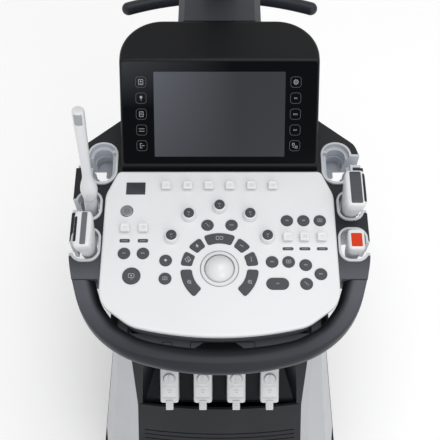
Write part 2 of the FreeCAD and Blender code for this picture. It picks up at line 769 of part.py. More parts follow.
def front_cover():
    """The dark lower front, bowed forwards a little, with shallow grooves near the floor."""
    sections = []
    for z in (COVER_BOTTOM, 500.0, SEAM_Z - 0.5):
        half = front_half_width(z) - 0.5
        front = front_y(z)
        left = Vector(-half, front, z)
        right = Vector(half, front, z)
        back = Vector(0, 5, 0)
        bow = Vector(0, front - FRONT_BOW, z)
        edges = [
            Part.Arc(left, bow, right).toShape(),
            Part.LineSegment(right, right + back).toShape(),
            Part.Arc(right + back, bow + back, left + back).toShape(),
            Part.LineSegment(left + back, left).toShape(),
        ]
        sections.append(Part.Wire(edges))
    skin = Part.makeLoft(sections, True, True)
    return skin.cut([front_groove(GROOVE_TOP - GROOVE_PITCH * i) for i in range(GROOVE_COUNT)])


def recess_profile(inset):
    """Side view of the hollow that the probe ports sit in."""
    slope = math.radians(PORT_SLOPE)
    foot_y, foot_z = PORT_FOOT
    step = inset / math.sin(slope)
    top_y = foot_y + PORT_RUN * math.cos(slope)
    top_z = foot_z + PORT_RUN * math.sin(slope)
    return [
        (-400, foot_z - inset), (foot_y, foot_z - inset), (top_y + inset, top_z - step + inset),
        (top_y + inset, 702 + inset), (-400, 702 + inset),
    ]


def recess_block(inset):
    """The ports' hollow as a solid, narrower at the back."""
    wide = RECESS_HALF + inset
    narrow = RECESS_BACK_HALF + inset
    plan = slab([
        (-wide, -400, 0), (wide, -400, 0), (wide, front_y(SEAM_Z) + 2, 0), (narrow, -290, 0),
        (narrow, -150, 0), (-narrow, -150, 0), (-narrow, -290, 0), (-wide, front_y(SEAM_Z) + 2, 0),
    ], 400, 800)
    return plan.common(side_profile(recess_profile(inset), 200))


def upper_cover():
    """The cart's dark top with the ports' hollow let into its front."""
    half = front_half_width(SEAM_Z) - 0.5
    outer = [(front_y(SEAM_Z), SEAM_Z), (front_y(CART_TOP), CART_TOP), (365, CART_TOP), (365, SEAM_Z)]
    skin = CART_SKIN
    inner = [
        (front_y(SEAM_Z) + skin, SEAM_Z - 20), (front_y(CART_TOP) + skin, CART_TOP - skin),
        (380, CART_TOP - skin), (380, SEAM_Z - 20),
    ]
    block = side_profile(outer, half)
    shell = block.cut(side_profile(inner, half - skin))
    lining_room = [
        (-341.5, 490), (-100, 490), (-100, 740),
        (front_y(740), 740), (front_y(505.5), 505.5), (-341.5, 505.5),
    ]
    lining = recess_block(skin).common(side_profile(lining_room, half))
    cover = joined([shell, lining]).cut(recess_block(0))
    column_hole = box(-62, 62, SWIVEL_Y - 62, SWIVEL_Y + 62, 700, 800)
    return cover.cut(column_hole)


def place_on_port_panel(shape, x):
    """From a plug's own frame (y up the slope, z out of it) to the machine's frame."""
    placed = shape.copy()
    placed.rotate(ORIGIN, X_AXIS, PORT_SLOPE)
    placed.translate(Vector(x, *PORT_FOOT))
    return placed


def probe_plug():
    """One probe connector, with a round lock knob and a cable boot."""
    body = slab(rounded_rectangle(0, 5 + PLUG_LENGTH / 2, PLUG_WIDTH, PLUG_LENGTH, 5), 0.2, PLUG_HEIGHT)
    body = body.makeFillet(3, edges_at_height(body, PLUG_HEIGHT))
    knob = Part.makeCylinder(11, 5, Vector(0, 56, PLUG_HEIGHT - 1))
    boot = side_profile([
        (12, PLUG_HEIGHT - 14), (12, PLUG_HEIGHT + 1.5), (-8, PLUG_HEIGHT + 1.5),
        (-8, PLUG_HEIGHT - 7.5), (-4.2, PLUG_HEIGHT - 14),
    ], 7)
    return joined([body, knob, boot])


def probe_plugs():
    """Four plugs side by side."""
    return group([place_on_port_panel(probe_plug(), (i - 1.5) * PORT_PITCH) for i in range(4)])


def rear_cover():
    """The back, with cooling slots and an opening for the sockets."""
    half = REAR_HALF - 1
    plate = box(-half, half, 362, CART_BACK, COVER_BOTTOM, SEAM_Z - 1)
    upper = box(-half, half, 365.5, CART_BACK, SEAM_Z - 1, CART_TOP)
    back = joined([plate, upper])
    cuts = [box(-110, 110, 350, 380, 240, 360)]
    for row in range(9):
        cuts.append(box(-90, 90, 350, 380, 400 + row * 12, 405 + row * 12))
    cuts += [Part.makeCylinder(2.2, 30, Vector(x, 350, z), Y_AXIS) for x, z in SCREW_PLACES]
    return back.cut(cuts)


def cover_screws():
    """Pan-head screws in the rear cover."""
    screws = []
    for x, z in SCREW_PLACES:
        head = Part.makeCylinder(4.2, 2.4, Vector(x, CART_BACK, z), Y_AXIS)
        shank = Part.makeCylinder(2, 12, Vector(x, CART_BACK - 12, z), Y_AXIS)
        screws.append(joined([head, shank]))
    return group(screws)


def io_panel():
    """The socket plate: power inlet, two network and two video sockets."""
    plate = box(-109.5, 109.5, 358, 362, 240.5, 359.5)
    cuts = [box(-90, -48, 350, 370, 262, 298)]
    cuts += [box(-20 + 34 * i, 2 + 34 * i, 350, 370, 268, 286) for i in range(4)]
    cuts += [box(-90 + 44 * i, -60 + 44 * i, 350, 370, 318, 330) for i in range(4)]
    return plate.cut(cuts)


def base_cover():
    """The dark skirt round the foot of the cart."""
    outline = both_sides([
        (225, -FOOT_HALF_DEPTH, 70), (FOOT_HALF_WIDTH, -360, 60),
        (FOOT_HALF_WIDTH, 370, 60), (225, FOOT_HALF_DEPTH, 60),
    ])
    shell = slab(outline, BASE_BOTTOM, COVER_BOTTOM - 0.2)
    shell = shell.makeFillet(8, edges_at_height(shell, COVER_BOTTOM - 0.2))
    hollow = inset_slab(outline, CART_SKIN, BASE_BOTTOM - 1, COVER_BOTTOM - CART_SKIN - 0.2)
    column_hole = box(-62, 62, SWIVEL_Y - 62, SWIVEL_Y + 62, 200, 230)
    posts = [box(x - 22, x + 22, y - 22, y + 22, 200, 230) for x, y in POST_PLACES]
    return shell.cut([hollow, column_hole] + posts)


def chassis_frame():
    """The welded steel frame: floor plate, rails and four uprights."""
    plate = box(-232, 232, -378, 378, 150, 158)
    rails = [box(x - 15, x + 15, -370, 370, 157, 185) for x in (-170, 170)]
    uprights = [box(x - 15, x + 15, y - 15, y + 15, 157, 735) for x, y in POST_PLACES]
    ties = [box(x - 15, x + 15, -150, 300, 715, 735) for x in (-130, 130)]
    frame = joined([plate] + rails + uprights + ties)
    pins = [Part.makeCylinder(8 + RUNNING_GAP, 20, Vector(x, y, 145)) for x, y in CASTERS.values()]
    tube_seat = box(-55.2, 55.2, SWIVEL_Y - 55.2, SWIVEL_Y + 55.2, 140, 200)
    return frame.cut(pins + [tube_seat])


def lift_column():
    """The outer tube of the height adjuster, fixed to the frame."""
    half = COLUMN_TUBE / 2
    outer = box(-half, half, SWIVEL_Y - half, SWIVEL_Y + half, 150, 742)
    bore = box(-half + 8, half - 8, SWIVEL_Y - half + 8, SWIVEL_Y + half - 8, 160, 760)
    return outer.cut(bore)


def lift_carriage():
    """The inner tube of the height adjuster, with the swivel plate on top."""
    half = LIFT_TUBE / 2
    tube = box(-half, half, SWIVEL_Y - half, SWIVEL_Y + half, 300, 775)
    bore = box(-half + 6, half - 6, SWIVEL_Y - half + 6, SWIVEL_Y + half - 6, 290, 760)
    plate = box(-90, 90, SWIVEL_Y - 80, SWIVEL_Y + 80, 770, 779)
    bearing = Part.makeCylinder(72, 12, Vector(0, SWIVEL_Y, 778))
    return joined([tube.cut(bore), plate, bearing])


def electronics_cage():
    """The card cage in front of the column."""
    case = box(-108, 108, -200, -10, 240, 480)
    room = box(-105, 105, -197, -13, 243, 481)
    cards = [box(-106.9 + 30 * i, -105 + 30 * i, -190, -20, 242, 470) for i in range(1, 7)]
    return joined([case.cut(room)] + cards)


def power_supply():
    """The power supply behind the column."""
    case = box(-120, 120, 135, 270, 240, 340)
    feet = [box(x, x + 20, 150, 255, 214.9, 241) for x in (-110, 90)]
    return joined([case] + feet)


def fan_frame():
    """The square frame that holds the fan against the rear slots."""
    x, y, z = FAN_PLACE
    frame = box(x - 60, x + 60, y, y + 38, z - 60, z + 60)
    throat = Part.makeCylinder(56, 60, Vector(x, y - 5, z), Y_AXIS)
    spider = [
        box(x - 58, x + 58, y, y + 4, z - 4, z + 4),
        box(x - 4, x + 4, y, y + 4, z - 58, z + 58),
    ]
    motor = Part.makeCylinder(20, 5, Vector(x, y, z), Y_AXIS)
    return joined([frame.cut(throat)] + spider + [motor])


def fan_rotor():
    """The fan's hub and seven blades."""
    x, y, z = FAN_PLACE
    hub = Part.makeCylinder(20, 26, Vector(x, y + 6, z), Y_AXIS)
    blades = []
    for i in range(7):
        blade = box(-1.2, 1.2, -9, 9, 15, 53)
        blade.rotate(ORIGIN, Z_AXIS, 40)
        blade.rotate(ORIGIN, Y_AXIS, 360 / 7 * i)
        blade.translate(Vector(x, y + 19, z))
        blades.append(blade)
    return joined([hub] + blades)


def rear_handle():
    """The bowed bar at the back, on a central bracket."""
    left = Vector(-REAR_BAR_HALF, 338, REAR_BAR_Z)
    right = Vector(REAR_BAR_HALF, 338, REAR_BAR_Z)
    bow = Part.Arc(left, Vector(0, 374, REAR_BAR_Z), right)
    section = Part.Circle(left, bow.tangent(bow.FirstParameter)[0], REAR_BAR_RADIUS)
    bar = Part.Wire([bow.toShape()]).makePipeShell([Part.Wire([section.toShape()])], True, True)
    ends = [Part.makeSphere(REAR_BAR_RADIUS, end) for end in (left, right)]
    bracket = box(-32, 32, 330, 372, CART_TOP + 0.1, 890)
    return joined([bar, bracket] + ends)


# ---- casters, in the machine's frame ----
def caster_fork(x, y, braked):
    """A caster's fork with its king pin and axle; a braked one has ears for the pedal."""
    disc = Part.makeCylinder(30, 10, Vector(0, 0, 139.5))
    pin = Part.makeCylinder(8, 24, Vector(0, 0, 140))
    cheeks = []
    for side in (-1, 1):
        x0, x1 = sorted((side * 18, side * 23))
        points = [
            (-22, 145), (22, 145), (CASTER_TRAIL + 12, WHEEL_RADIUS + 4),
            (CASTER_TRAIL + 8, WHEEL_RADIUS - 10), (CASTER_TRAIL - 10, WHEEL_RADIUS - 10), (-16, 120),
        ]
        face = Part.Face(Part.makePolygon([Vector(x0, py, pz) for py, pz in points + points[:1]]))
        cheeks.append(face.extrude(Vector(x1 - x0, 0, 0)))
    axle = rod(6, Vector(-20, CASTER_TRAIL, WHEEL_RADIUS), Vector(20, CASTER_TRAIL, WHEEL_RADIUS))
    crown = box(-23, 23, -22, 22, 130, 141)
    parts = [disc, pin, crown, axle] + cheeks
    if braked:
        for side in (-1, 1):
            x0, x1 = sorted((side * 18, side * 23))
            parts.append(box(x0, x1, PEDAL_Y - 6, -15, PEDAL_Z - 6, PEDAL_Z + 12))
        parts.append(rod(3, Vector(-20, PEDAL_Y, PEDAL_Z), Vector(20, PEDAL_Y, PEDAL_Z)))
    fork = joined(parts)
    fork.translate(Vector(x, y, 0))
    return fork


def caster_wheel(x, y):
    """A caster's hub with a soft tyre round it."""
    start = Vector(x - WHEEL_WIDTH / 2, y + CASTER_TRAIL, WHEEL_RADIUS)
    end = Vector(x + WHEEL_WIDTH / 2, y + CASTER_TRAIL, WHEEL_RADIUS)
    tyre = rod(WHEEL_RADIUS, start, end)
    rims = [e for e in tyre.Edges if e.BoundBox.XLength < 0.1]
    tyre = tyre.makeFillet(6, rims).cut(rod(46, start, end))
    bore = rod(6 + RUNNING_GAP, start, end)
    hub = rod(46, start, end).cut(bore)
    dish = [rod(38, start, start + Vector(5, 0, 0)), rod(38, end - Vector(5, 0, 0), end)]
    boss = [rod(12, start, start + Vector(6, 0, 0)), rod(12, end - Vector(6, 0, 0), end)]
    hub = joined([hub.cut(dish)] + [b.cut(bore) for b in boss])
    return group([hub, tyre])


def brake_pedal(x, y):
    """The foot pedal of a braked caster, up at rest."""
    lever = box(-15, 15, PEDAL_Y - 44, PEDAL_Y - 2, PEDAL_Z - 3, PEDAL_Z + 4)
    boss = rod(7, Vector(-15, PEDAL_Y, PEDAL_Z), Vector(15, PEDAL_Y, PEDAL_Z))
    bore = rod(3 + RUNNING_GAP, Vector(-16, PEDAL_Y, PEDAL_Z), Vector(16, PEDAL_Y, PEDAL_Z))
    pedal = joined([lever, boss]).cut(bore)
    pedal.translate(Vector(x, y, 0))
    return pedal


# ---- probes, in the panel's own frame ----
def stadium_wire(x, y, width, length, z):
    """A rounded outline at a height, for lofting."""
    outline = polygon(rounded_rectangle(x, y, width, length, min(width, length) / 2 - 0.5)).OuterWire
    outline.translate(Vector(0, 0, z))
    return outline


def probe_body(cup, offset, waist, head, top):
    """A hand-held probe standing in a cup: a slim grip that widens into the head above the rim."""
    x, y, _, _, _ = cup
    x += offset
    shoulder = 0.72 * (top + 4) - 4
    neck_size = (waist[0] + 3, waist[1] + 4)
    sections = [
        stadium_wire(x, y, waist[0] - 4, waist[1] - 4, PROBE_FOOT),
        stadium_wire(x, y, waist[0], waist[1], PROBE_FOOT + 6),
        stadium_wire(x, y, neck_size[0], neck_size[1], CUP_RIM + 1),
        stadium_wire(x, y, head[0], head[1], shoulder),
        stadium_wire(x, y, head[0] - 2, head[1] - 2, top - 2),
        stadium_wire(x, y, head[0] - 6, head[1] - 6, top),
    ]
    return Part.makeLoft(sections, True, True)


def rod_probe(cup):
    """The probe with a long thin rod, leaning back against its cup."""
    x, y, _, _, _ = cup
    outline = [Vector(0, 0, ROD_PROFILE[0][1])]
    outline += [Vector(radius, 0, along) for radius, along in ROD_PROFILE]
    outline.append(Vector(0, 0, ROD_PROFILE[-1][1]))
    face = Part.Face(Part.makePolygon(outline + outline[:1]))
    probe = face.revolve(ORIGIN, Z_AXIS, 360)
    probe.rotate(ORIGIN, X_AXIS, -ROD_LEAN_BACK)
    probe.rotate(ORIGIN, Y_AXIS, -ROD_LEAN_IN)
    probe.translate(Vector(x - 2, y, ROD_ROOT))
    return probe


# ---- everything ----
def console_nodes():
    """Nodes that are drawn in the panel's own frame."""
    nodes = {
        "control_panel": control_panel(),
        "trackball_ring": trackball_ring(),
        "trackball": trackball(),
        "console_tray": console_tray(),
        "front_handle": front_handle(),
        "keyboard_tray": keyboard_tray(),
        "keyboard_keys": keyboard_keys(),
        "panel_keys": group([softened_key(x, y, SMALL_KEY) for x, y in ROUND_KEYS] + [wide_key()]),
        "freeze_key": softened_key(*FREEZE_PLACE, FREEZE_KEY),
        "power_button": softened_key(*POWER_PLACE, SMALL_KEY),
        "arc_keys": group([arc_key(a, b) for a, b in ARC_KEYS]),
        "set_keys": group([arc_key(a, b) for a, b in SET_KEYS]),
        "menu_paddles": paddle_row(MENU_PADDLES, MENU_PADDLE_ROW),
        "left_paddles": paddle_row(LEFT_PADDLES, LEFT_PADDLE_ROW),
        "right_paddles": paddle_row(RIGHT_PADDLES, RIGHT_PADDLE_ROW),
    }
    for name, (x, y) in ENCODERS.items():
        nodes[name] = encoder(x, y)
    middle, front = PROBE_CUPS
    cups = [probe_cup(middle), probe_cup(front), gel_cup(GEL_CUP)]
    nodes["cups"] = group(cups + [mirrored(cup) for cup in cups])
    nodes["rod_probe"] = mirrored(rod_probe(middle))
    nodes["flat_probe"] = mirrored(probe_body(front, -4.0, (22, 36), (33, 60), 55.0))
    nodes["convex_probe"] = probe_body(middle, 0.0, (26, 36), (38, 62), 58.0)
    nodes["sector_probe"] = probe_body(front, 2.0, (22, 32), (28, 38), 16.0)
    return {name: on_console(shape) for name, shape in nodes.items()}


def machine_nodes():
    """Nodes that are drawn in the machine's frame."""
    cover = side_cover()
    nodes = {
        "console_base": console_base(),
        "touch_housing": touch_housing(),
        "touch_display": touch_display(),
        "neck": neck(),
        "monitor_arm": monitor_arm(),
        "monitor_head": monitor_head(),
        "monitor_housing": monitor_housing(),
        "monitor_screen": monitor_screen(),
        "right_side_cover": cover,
        "left_side_cover": mirrored(cover),
        "front_cover": front_cover(),
        "upper_cover": upper_cover(),
        "probe_plugs": probe_plugs(),
        "rear_cover": rear_cover(),
        "cover_screws": cover_screws(),
        "io_panel": io_panel(),
        "base_cover": base_cover(),
        "chassis_frame": chassis_frame(),
        "lift_column": lift_column(),
        "lift_carriage": lift_carriage(),
        "electronics_cage": electronics_cage(),
        "power_supply": power_supply(),
        "fan_frame": fan_frame(),
        "fan_rotor": fan_rotor(),
        "rear_handle": rear_handle(),
    }
    for place, (x, y) in CASTERS.items():
        nodes[place + "_fork"] = caster_fork(x, y, place.startswith("front"))
        nodes[place + "_wheel"] = caster_wheel(x, y)
        if place.startswith("front"):
            nodes[place + "_brake_pedal"] = brake_pedal(x, y)
    return nodes


def main():
    """Writes one file for each node."""
    os.makedirs("parts", exist_ok=True)
    nodes = {**console_nodes(), **machine_nodes()}
    for name, shape in nodes.items():
        shape.exportStep("parts/" + name + ".step")


main()
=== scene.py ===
import math

import bmesh
import bpy
from mathutils import Matrix, Vector
from mathutils.bvhtree import BVHTree


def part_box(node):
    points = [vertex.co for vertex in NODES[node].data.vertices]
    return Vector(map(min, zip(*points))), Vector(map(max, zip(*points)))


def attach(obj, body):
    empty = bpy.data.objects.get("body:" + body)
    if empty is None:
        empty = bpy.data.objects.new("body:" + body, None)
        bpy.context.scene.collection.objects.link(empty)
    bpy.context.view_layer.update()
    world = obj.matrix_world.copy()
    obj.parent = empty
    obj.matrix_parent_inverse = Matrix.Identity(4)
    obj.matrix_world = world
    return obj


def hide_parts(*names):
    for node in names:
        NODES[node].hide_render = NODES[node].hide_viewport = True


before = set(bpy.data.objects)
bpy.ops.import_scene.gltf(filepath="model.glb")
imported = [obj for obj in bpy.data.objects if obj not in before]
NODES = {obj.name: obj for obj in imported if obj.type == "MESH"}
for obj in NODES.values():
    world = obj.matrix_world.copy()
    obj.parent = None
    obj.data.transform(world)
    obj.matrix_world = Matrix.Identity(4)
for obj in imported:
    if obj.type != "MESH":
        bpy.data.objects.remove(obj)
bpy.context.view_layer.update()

# An ultrasound machine. The frame is in metres; shapes are drawn in millimetres and placed by matrices.
MM = Matrix.Scale(0.001, 4)

PANEL_TILT = math.radians(7)
TOUCH_TILT = math.radians(46)
PORT_SLOPE = math.radians(45)
BALL_DEPTH = 0.010
KEY_TOP = 1.6
ENCODER_TOP = 12.85


# ---- places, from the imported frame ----
def turned(degrees, axis):
    """A rotation about an axis."""
    return Matrix.Rotation(math.radians(degrees), 4, axis)


def middle(node):
    """The centre of a CAD node's box."""
    low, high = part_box(node)
    return (low + high) / 2


PANEL_NORMAL = Vector((0, -math.sin(PANEL_TILT), math.cos(PANEL_TILT)))
PANEL_ORIGIN = middle("trackball") + PANEL_NORMAL * BALL_DEPTH
PANEL = Matrix.Translation(PANEL_ORIGIN) @ Matrix.Rotation(PANEL_TILT, 4, "X") @ MM
GLASS_LOW, GLASS_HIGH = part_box("touch_display")
TOUCH_UP = Vector((0, math.cos(TOUCH_TILT), math.sin(TOUCH_TILT)))
TOUCH_NORMAL = Vector((0, -math.sin(TOUCH_TILT), math.cos(TOUCH_TILT)))


def touch_origin():
    """The lower edge of the touch glass's front, on the centre line."""
    corners = [v.co for v in NODES["touch_display"].data.vertices]
    front = max(c.dot(TOUCH_NORMAL) for c in corners)
    low = min(c.dot(TOUCH_UP) for c in corners)
    return TOUCH_NORMAL * front + TOUCH_UP * low


TOUCH = Matrix.Translation(touch_origin()) @ Matrix.Rotation(TOUCH_TILT, 4, "X") @ MM


def islands(node, place):
    """The boxes (low, high) of a CAD node's separate solids, in a local frame."""
    mesh = NODES[node].data
    parent = {}

    def root(key):
        while parent[key] != key:
            parent[key] = parent[parent[key]]
            key = parent[key]
        return key

    keys = [tuple(round(c, 6) for c in v.co) for v in mesh.vertices]
    for key in keys:
        parent[key] = key
    for face in mesh.polygons:
        first = root(keys[face.vertices[0]])
        for i in face.vertices[1:]:
            parent[root(keys[i])] = first
    inverse = place.inverted()
    boxes = {}
    for key in set(keys):
        point = inverse @ Vector(key)
        low, high = boxes.setdefault(root(key), (point.copy(), point.copy()))
        for i in range(3):
            low[i] = min(low[i], point[i])
            high[i] = max(high[i], point[i])
    return sorted(boxes.values(), key=lambda b: (round(b[0].x), round(b[0].y)))


def centres(node):
    """The (x, y) centres of a CAD node's solids, in the panel's frame."""
    return [((low.x + high.x) / 2, (low.y + high.y) / 2) for low, high in islands(node, PANEL)]


# ---- materials ----
def add(tree, kind, values=None, **settings):
    """A shader node, with its inputs set or linked."""
    made = tree.nodes.new("ShaderNode" + kind)
    for key, value in settings.items():
        setattr(made, key, value)
    for key, value in (values or {}).items():
        if isinstance(value, bpy.types.NodeSocket):
            tree.links.new(value, made.inputs[key])
        else:
            made.inputs[key].default_value = value
    return made


def mixed(tree, factor, first, second):
    """A colour between two colours."""
    node = add(tree, "Mix", {0: factor, 6: first, 7: second}, data_type="RGBA")
    return node.outputs[2]


def ranged(tree, value, low, high, to_low, to_high):
    """A value mapped from one range to another."""
    node = add(tree, "MapRange", {0: value, 1: low, 2: high, 3: to_low, 4: to_high})
    return node.outputs[0]


MATERIALS = {}


def surface(name, colour, roughness, metal=0.0, coat=0.0, grain=1400, depth=0.05, cloud=0.06, wear_and_highlight=0.25,
            corner=0.0008, stretch=(1, 1, 1), shade=None, shine=0.5):
    """A moulded or machined surface: fine grain, faint clouding, soft corners painted a little lighter,
    partly as wear and partly as a painted edge highlight.
    """
    material = bpy.data.materials.new(name)
    material.use_nodes = True
    tree = material.node_tree
    shader = tree.nodes["Principled BSDF"]
    base = tuple(colour) + (1,)
    place = add(tree, "TexCoord").outputs["Object"]
    stretched = add(tree, "Mapping", {"Vector": place, "Scale": stretch}).outputs[0]
    clouds = add(tree, "TexNoise", {"Vector": place, "Scale": 9, "Detail": 3}).outputs["Fac"]
    fine = add(tree, "TexNoise", {"Vector": stretched, "Scale": grain, "Detail": 2}).outputs["Fac"]
    dark = tuple(c * (1 - cloud) for c in colour) + (1,)
    # edge tone: corners painted lighter, partly wear and partly a painted highlight where light catches a
    # rounded edge
    worn_highlight_tone = tuple(min(1, c * (1 + wear_and_highlight) + 0.012 * wear_and_highlight) for c in colour) + (1,)
    rounded = add(tree, "Bevel", {"Radius": corner}, samples=4).outputs[0]
    flat = add(tree, "NewGeometry").outputs["Normal"]
    along = add(tree, "VectorMath", {0: rounded, 1: flat}, operation="DOT_PRODUCT").outputs["Value"]
    edge = ranged(tree, along, 0.999, 0.93, 0, 1)
    tone = mixed(tree, clouds, base, dark)
    if shade is not None:
        tone = shade(tree, place, tone)
    tree.links.new(mixed(tree, edge, tone, worn_highlight_tone if shade is None else tone), shader.inputs["Base Color"])
    rough = ranged(tree, clouds, 0.3, 0.7, roughness * 0.92, min(1, roughness * 1.08))
    tree.links.new(rough, shader.inputs["Roughness"])
    bump = add(tree, "Bump", {"Strength": depth, "Distance": 0.0005, "Height": fine, "Normal": rounded})
    tree.links.new(bump.outputs[0], shader.inputs["Normal"])
    shader.inputs["Metallic"].default_value = metal
    shader.inputs["Specular IOR Level"].default_value = shine
    shader.inputs["Coat Weight"].default_value = coat
    shader.inputs["Coat Roughness"].default_value = 0.12
    material.diffuse_color = base
    MATERIALS[name] = material


def painted_cup_light(tree, place, tone):
    """Painted light on the milky cups: a painted sheen where they are seen edge-on, painted shade deep inside
    and a painted highlight on the rim.
    """
    painted_edge_sheen = add(tree, "LayerWeight", {"Blend": 0.25}).outputs["Facing"]
    upward = {0: place, 1: tuple(PANEL_NORMAL)}
    along = add(tree, "VectorMath", upward, operation="DOT_PRODUCT").outputs["Value"]
    rim = PANEL_ORIGIN.dot(PANEL_NORMAL) - 0.004
    painted_depth_shade = ranged(tree, along, rim - 0.055, rim - 0.012, 0, 1)
    # painted highlight along the rim's top
    top = ranged(tree, along, rim - 0.003, rim - 0.0015, 0, 1)
    tone = mixed(tree, painted_depth_shade, (0.36, 0.375, 0.42, 1), tone)
    tone = mixed(tree, painted_edge_sheen, tone, (0.50, 0.52, 0.56, 1))
    return mixed(tree, top, tone, (0.56, 0.575, 0.60, 1))


def corner_reflection(left, right, low, least, colour):
    """A painted soft reflection that lightens glass towards its upper left corner."""
    def shade(tree, place, tone):
        part = add(tree, "SeparateXYZ", {0: place})
        across = ranged(tree, part.outputs["X"], left, right, 1, 0)
        upward = ranged(tree, part.outputs["Z"], low, GLASS_HIGH.z, least, 1)
        reflection_share = add(tree, "Math", {0: across, 1: upward}, operation="MULTIPLY").outputs[0]
        return mixed(tree, reflection_share, tone, colour)

    return shade


def painted_front_light(tree, place, tone):
    """Painted light: the dark moulding is painted a little lighter and bluer towards the front, where it
    meets the grip.
    """
    along = add(tree, "SeparateXYZ", {0: place}).outputs["Y"]
    front_light_share = ranged(tree, along, -0.205, -0.268, 0, 1)
    return mixed(tree, front_light_share, tone, (0.080, 0.085, 0.100, 1))


GRIP_CENTRE_Y = -0.262


def painted_grip_light(tree, place, tone):
    """The grip: painted shade where it turns down towards the panel, painted light along its two sides."""
    centre = (0, GRIP_CENTRE_Y, PANEL_ORIGIN.z)
    toward = add(tree, "VectorMath", {0: centre, 1: place}, operation="SUBTRACT").outputs[0]
    toward = add(tree, "VectorMath", {0: toward}, operation="NORMALIZE").outputs[0]
    normal = add(tree, "TexCoord").outputs["Normal"]
    inward = add(tree, "VectorMath", {0: toward, 1: normal}, operation="DOT_PRODUCT").outputs["Value"]
    along = add(tree, "SeparateXYZ", {0: place}).outputs["Y"]
    side = ranged(tree, along, -0.395, -0.300, 0, 1)
    # painted light along the grip's sides
    tone = mixed(tree, side, tone, (0.075, 0.079, 0.094, 1))
    # painted shade on faces turned in towards the panel
    return mixed(tree, ranged(tree, inward, 0.12, 0.55, 0, 1), tone, (0.0085, 0.0095, 0.0120, 1))


# painted reflections on the touch display's active area and on its glass
lcd_reflection = corner_reflection(-0.12, 0.03, GLASS_LOW.z, 0.35, (0.100, 0.106, 0.130, 1))
glass_reflection = corner_reflection(-0.17, 0.02, GLASS_LOW.z + 0.07, 0, (0.040, 0.043, 0.050, 1))
surface("panel_white", (0.775, 0.78, 0.795), 0.42, coat=0.12, depth=0.03, wear_and_highlight=0.05)
surface("key_grey", (0.067, 0.069, 0.078), 0.55, depth=0.10, wear_and_highlight=0.5, shine=0.3)
surface("cap_grey", (0.052, 0.054, 0.062), 0.45, depth=0.08, wear_and_highlight=0.6, shine=0.35)
surface("silver", (0.32, 0.325, 0.345), 0.32, metal=0.9, depth=0.05, wear_and_highlight=0.1)
surface("pearl", (0.75, 0.76, 0.765), 0.30, coat=0.2, depth=0.0, cloud=0.05, wear_and_highlight=0.0)
surface("ring_white", (0.71, 0.715, 0.73), 0.35, coat=0.3, depth=0.02, wear_and_highlight=0.02)
surface("tray", (0.0135, 0.0140, 0.0175), 0.50, grain=900, depth=0.10, wear_and_highlight=0.35, shade=painted_front_light, shine=0.3)
surface("drawer", (0.150, 0.155, 0.172), 0.45, grain=900, depth=0.08, wear_and_highlight=0.3, shine=0.4)
surface("handle", (0.0215, 0.0240, 0.0325), 0.42, grain=900, depth=0.12, wear_and_highlight=0.2, shine=0.34)
surface("grip", (0.0165, 0.0185, 0.0255), 0.42, grain=900, depth=0.12, wear_and_highlight=0.2, shade=painted_grip_light, shine=0.30)
surface("neck", (0.056, 0.059, 0.070), 0.42, grain=900, depth=0.12, wear_and_highlight=0.2, shine=0.35)
surface("cup", (0.52, 0.55, 0.60), 0.35, depth=0.03, shade=painted_cup_light)
# the housings' edges are painted much lighter: partly wear, partly a painted highlight along the hood's edge
surface("black", (0.0048, 0.0052, 0.0066), 0.40, grain=900, depth=0.12, wear_and_highlight=0.9, corner=0.0015, shine=0.24)
# painted shade: near-black for slots, grooves and hollows that are dark only because light can't reach into
# them
surface("painted_gap_shade", (0.005, 0.005, 0.006), 0.6, depth=0.02, wear_and_highlight=0, shine=0.2)
surface("glass", (0.0028, 0.0031, 0.0042), 0.12, grain=60, depth=0.004, wear_and_highlight=0.2, shade=glass_reflection,
        shine=0.04)
surface("lcd", (0.028, 0.029, 0.033), 0.24, depth=0.0, wear_and_highlight=0, shade=lcd_reflection, shine=0.25)
surface("screen", (0.020, 0.021, 0.025), 0.20, depth=0.003, grain=60, wear_and_highlight=0, shine=0.3)
surface("mark", (0.58, 0.59, 0.61), 0.5, depth=0.02, wear_and_highlight=0)
surface("faint_mark", (0.58, 0.585, 0.60), 0.5, depth=0.02, wear_and_highlight=0)
surface("dim_mark", (0.125, 0.130, 0.142), 0.5, depth=0.02, wear_and_highlight=0, shine=0.2)
surface("touch_mark", (0.36, 0.37, 0.39), 0.5, depth=0.02, wear_and_highlight=0, shine=0.2)
surface("label", (0.070, 0.073, 0.082), 0.5, depth=0.05, wear_and_highlight=0.2, shine=0.3)
surface("window", (0.042, 0.044, 0.053), 0.25, depth=0.02, coat=0.15, wear_and_highlight=0.2, shine=0.3)
surface("cover", (0.435, 0.448, 0.472), 0.40, coat=0.1, depth=0.03, wear_and_highlight=0.08)
surface("front", (0.0105, 0.0114, 0.0142), 0.45, grain=900, depth=0.10, wear_and_highlight=0.5, shine=0.13)
surface("gloss_dark", (0.0090, 0.0100, 0.0135), 0.30, depth=0.02, wear_and_highlight=0.3, shine=0.16)
surface("probe", (0.73, 0.74, 0.755), 0.32, coat=0.15, depth=0.02, wear_and_highlight=0.02)
surface("probe_grip", (0.47, 0.48, 0.505), 0.45, depth=0.03, wear_and_highlight=0.05)
surface("rod_grip", (0.62, 0.625, 0.66), 0.40, depth=0.03, wear_and_highlight=0.03)
surface("lens", (0.060, 0.064, 0.076), 0.38, depth=0.04, cloud=0.15, wear_and_highlight=0.3, shine=0.35)
surface("lens_grey", (0.135, 0.140, 0.158), 0.38, depth=0.04, cloud=0.1, wear_and_highlight=0.1, shine=0.35)
surface("lens_black", (0.010, 0.014, 0.014), 0.3, depth=0.03, wear_and_highlight=0.3, shine=0.3)
surface("lens_red", (0.64, 0.040, 0.006), 0.45, depth=0.03, cloud=0.1, wear_and_highlight=0.0, shine=0.15)
surface("lens_pale", (0.34, 0.35, 0.37), 0.3, depth=0.02, wear_and_highlight=0.1)
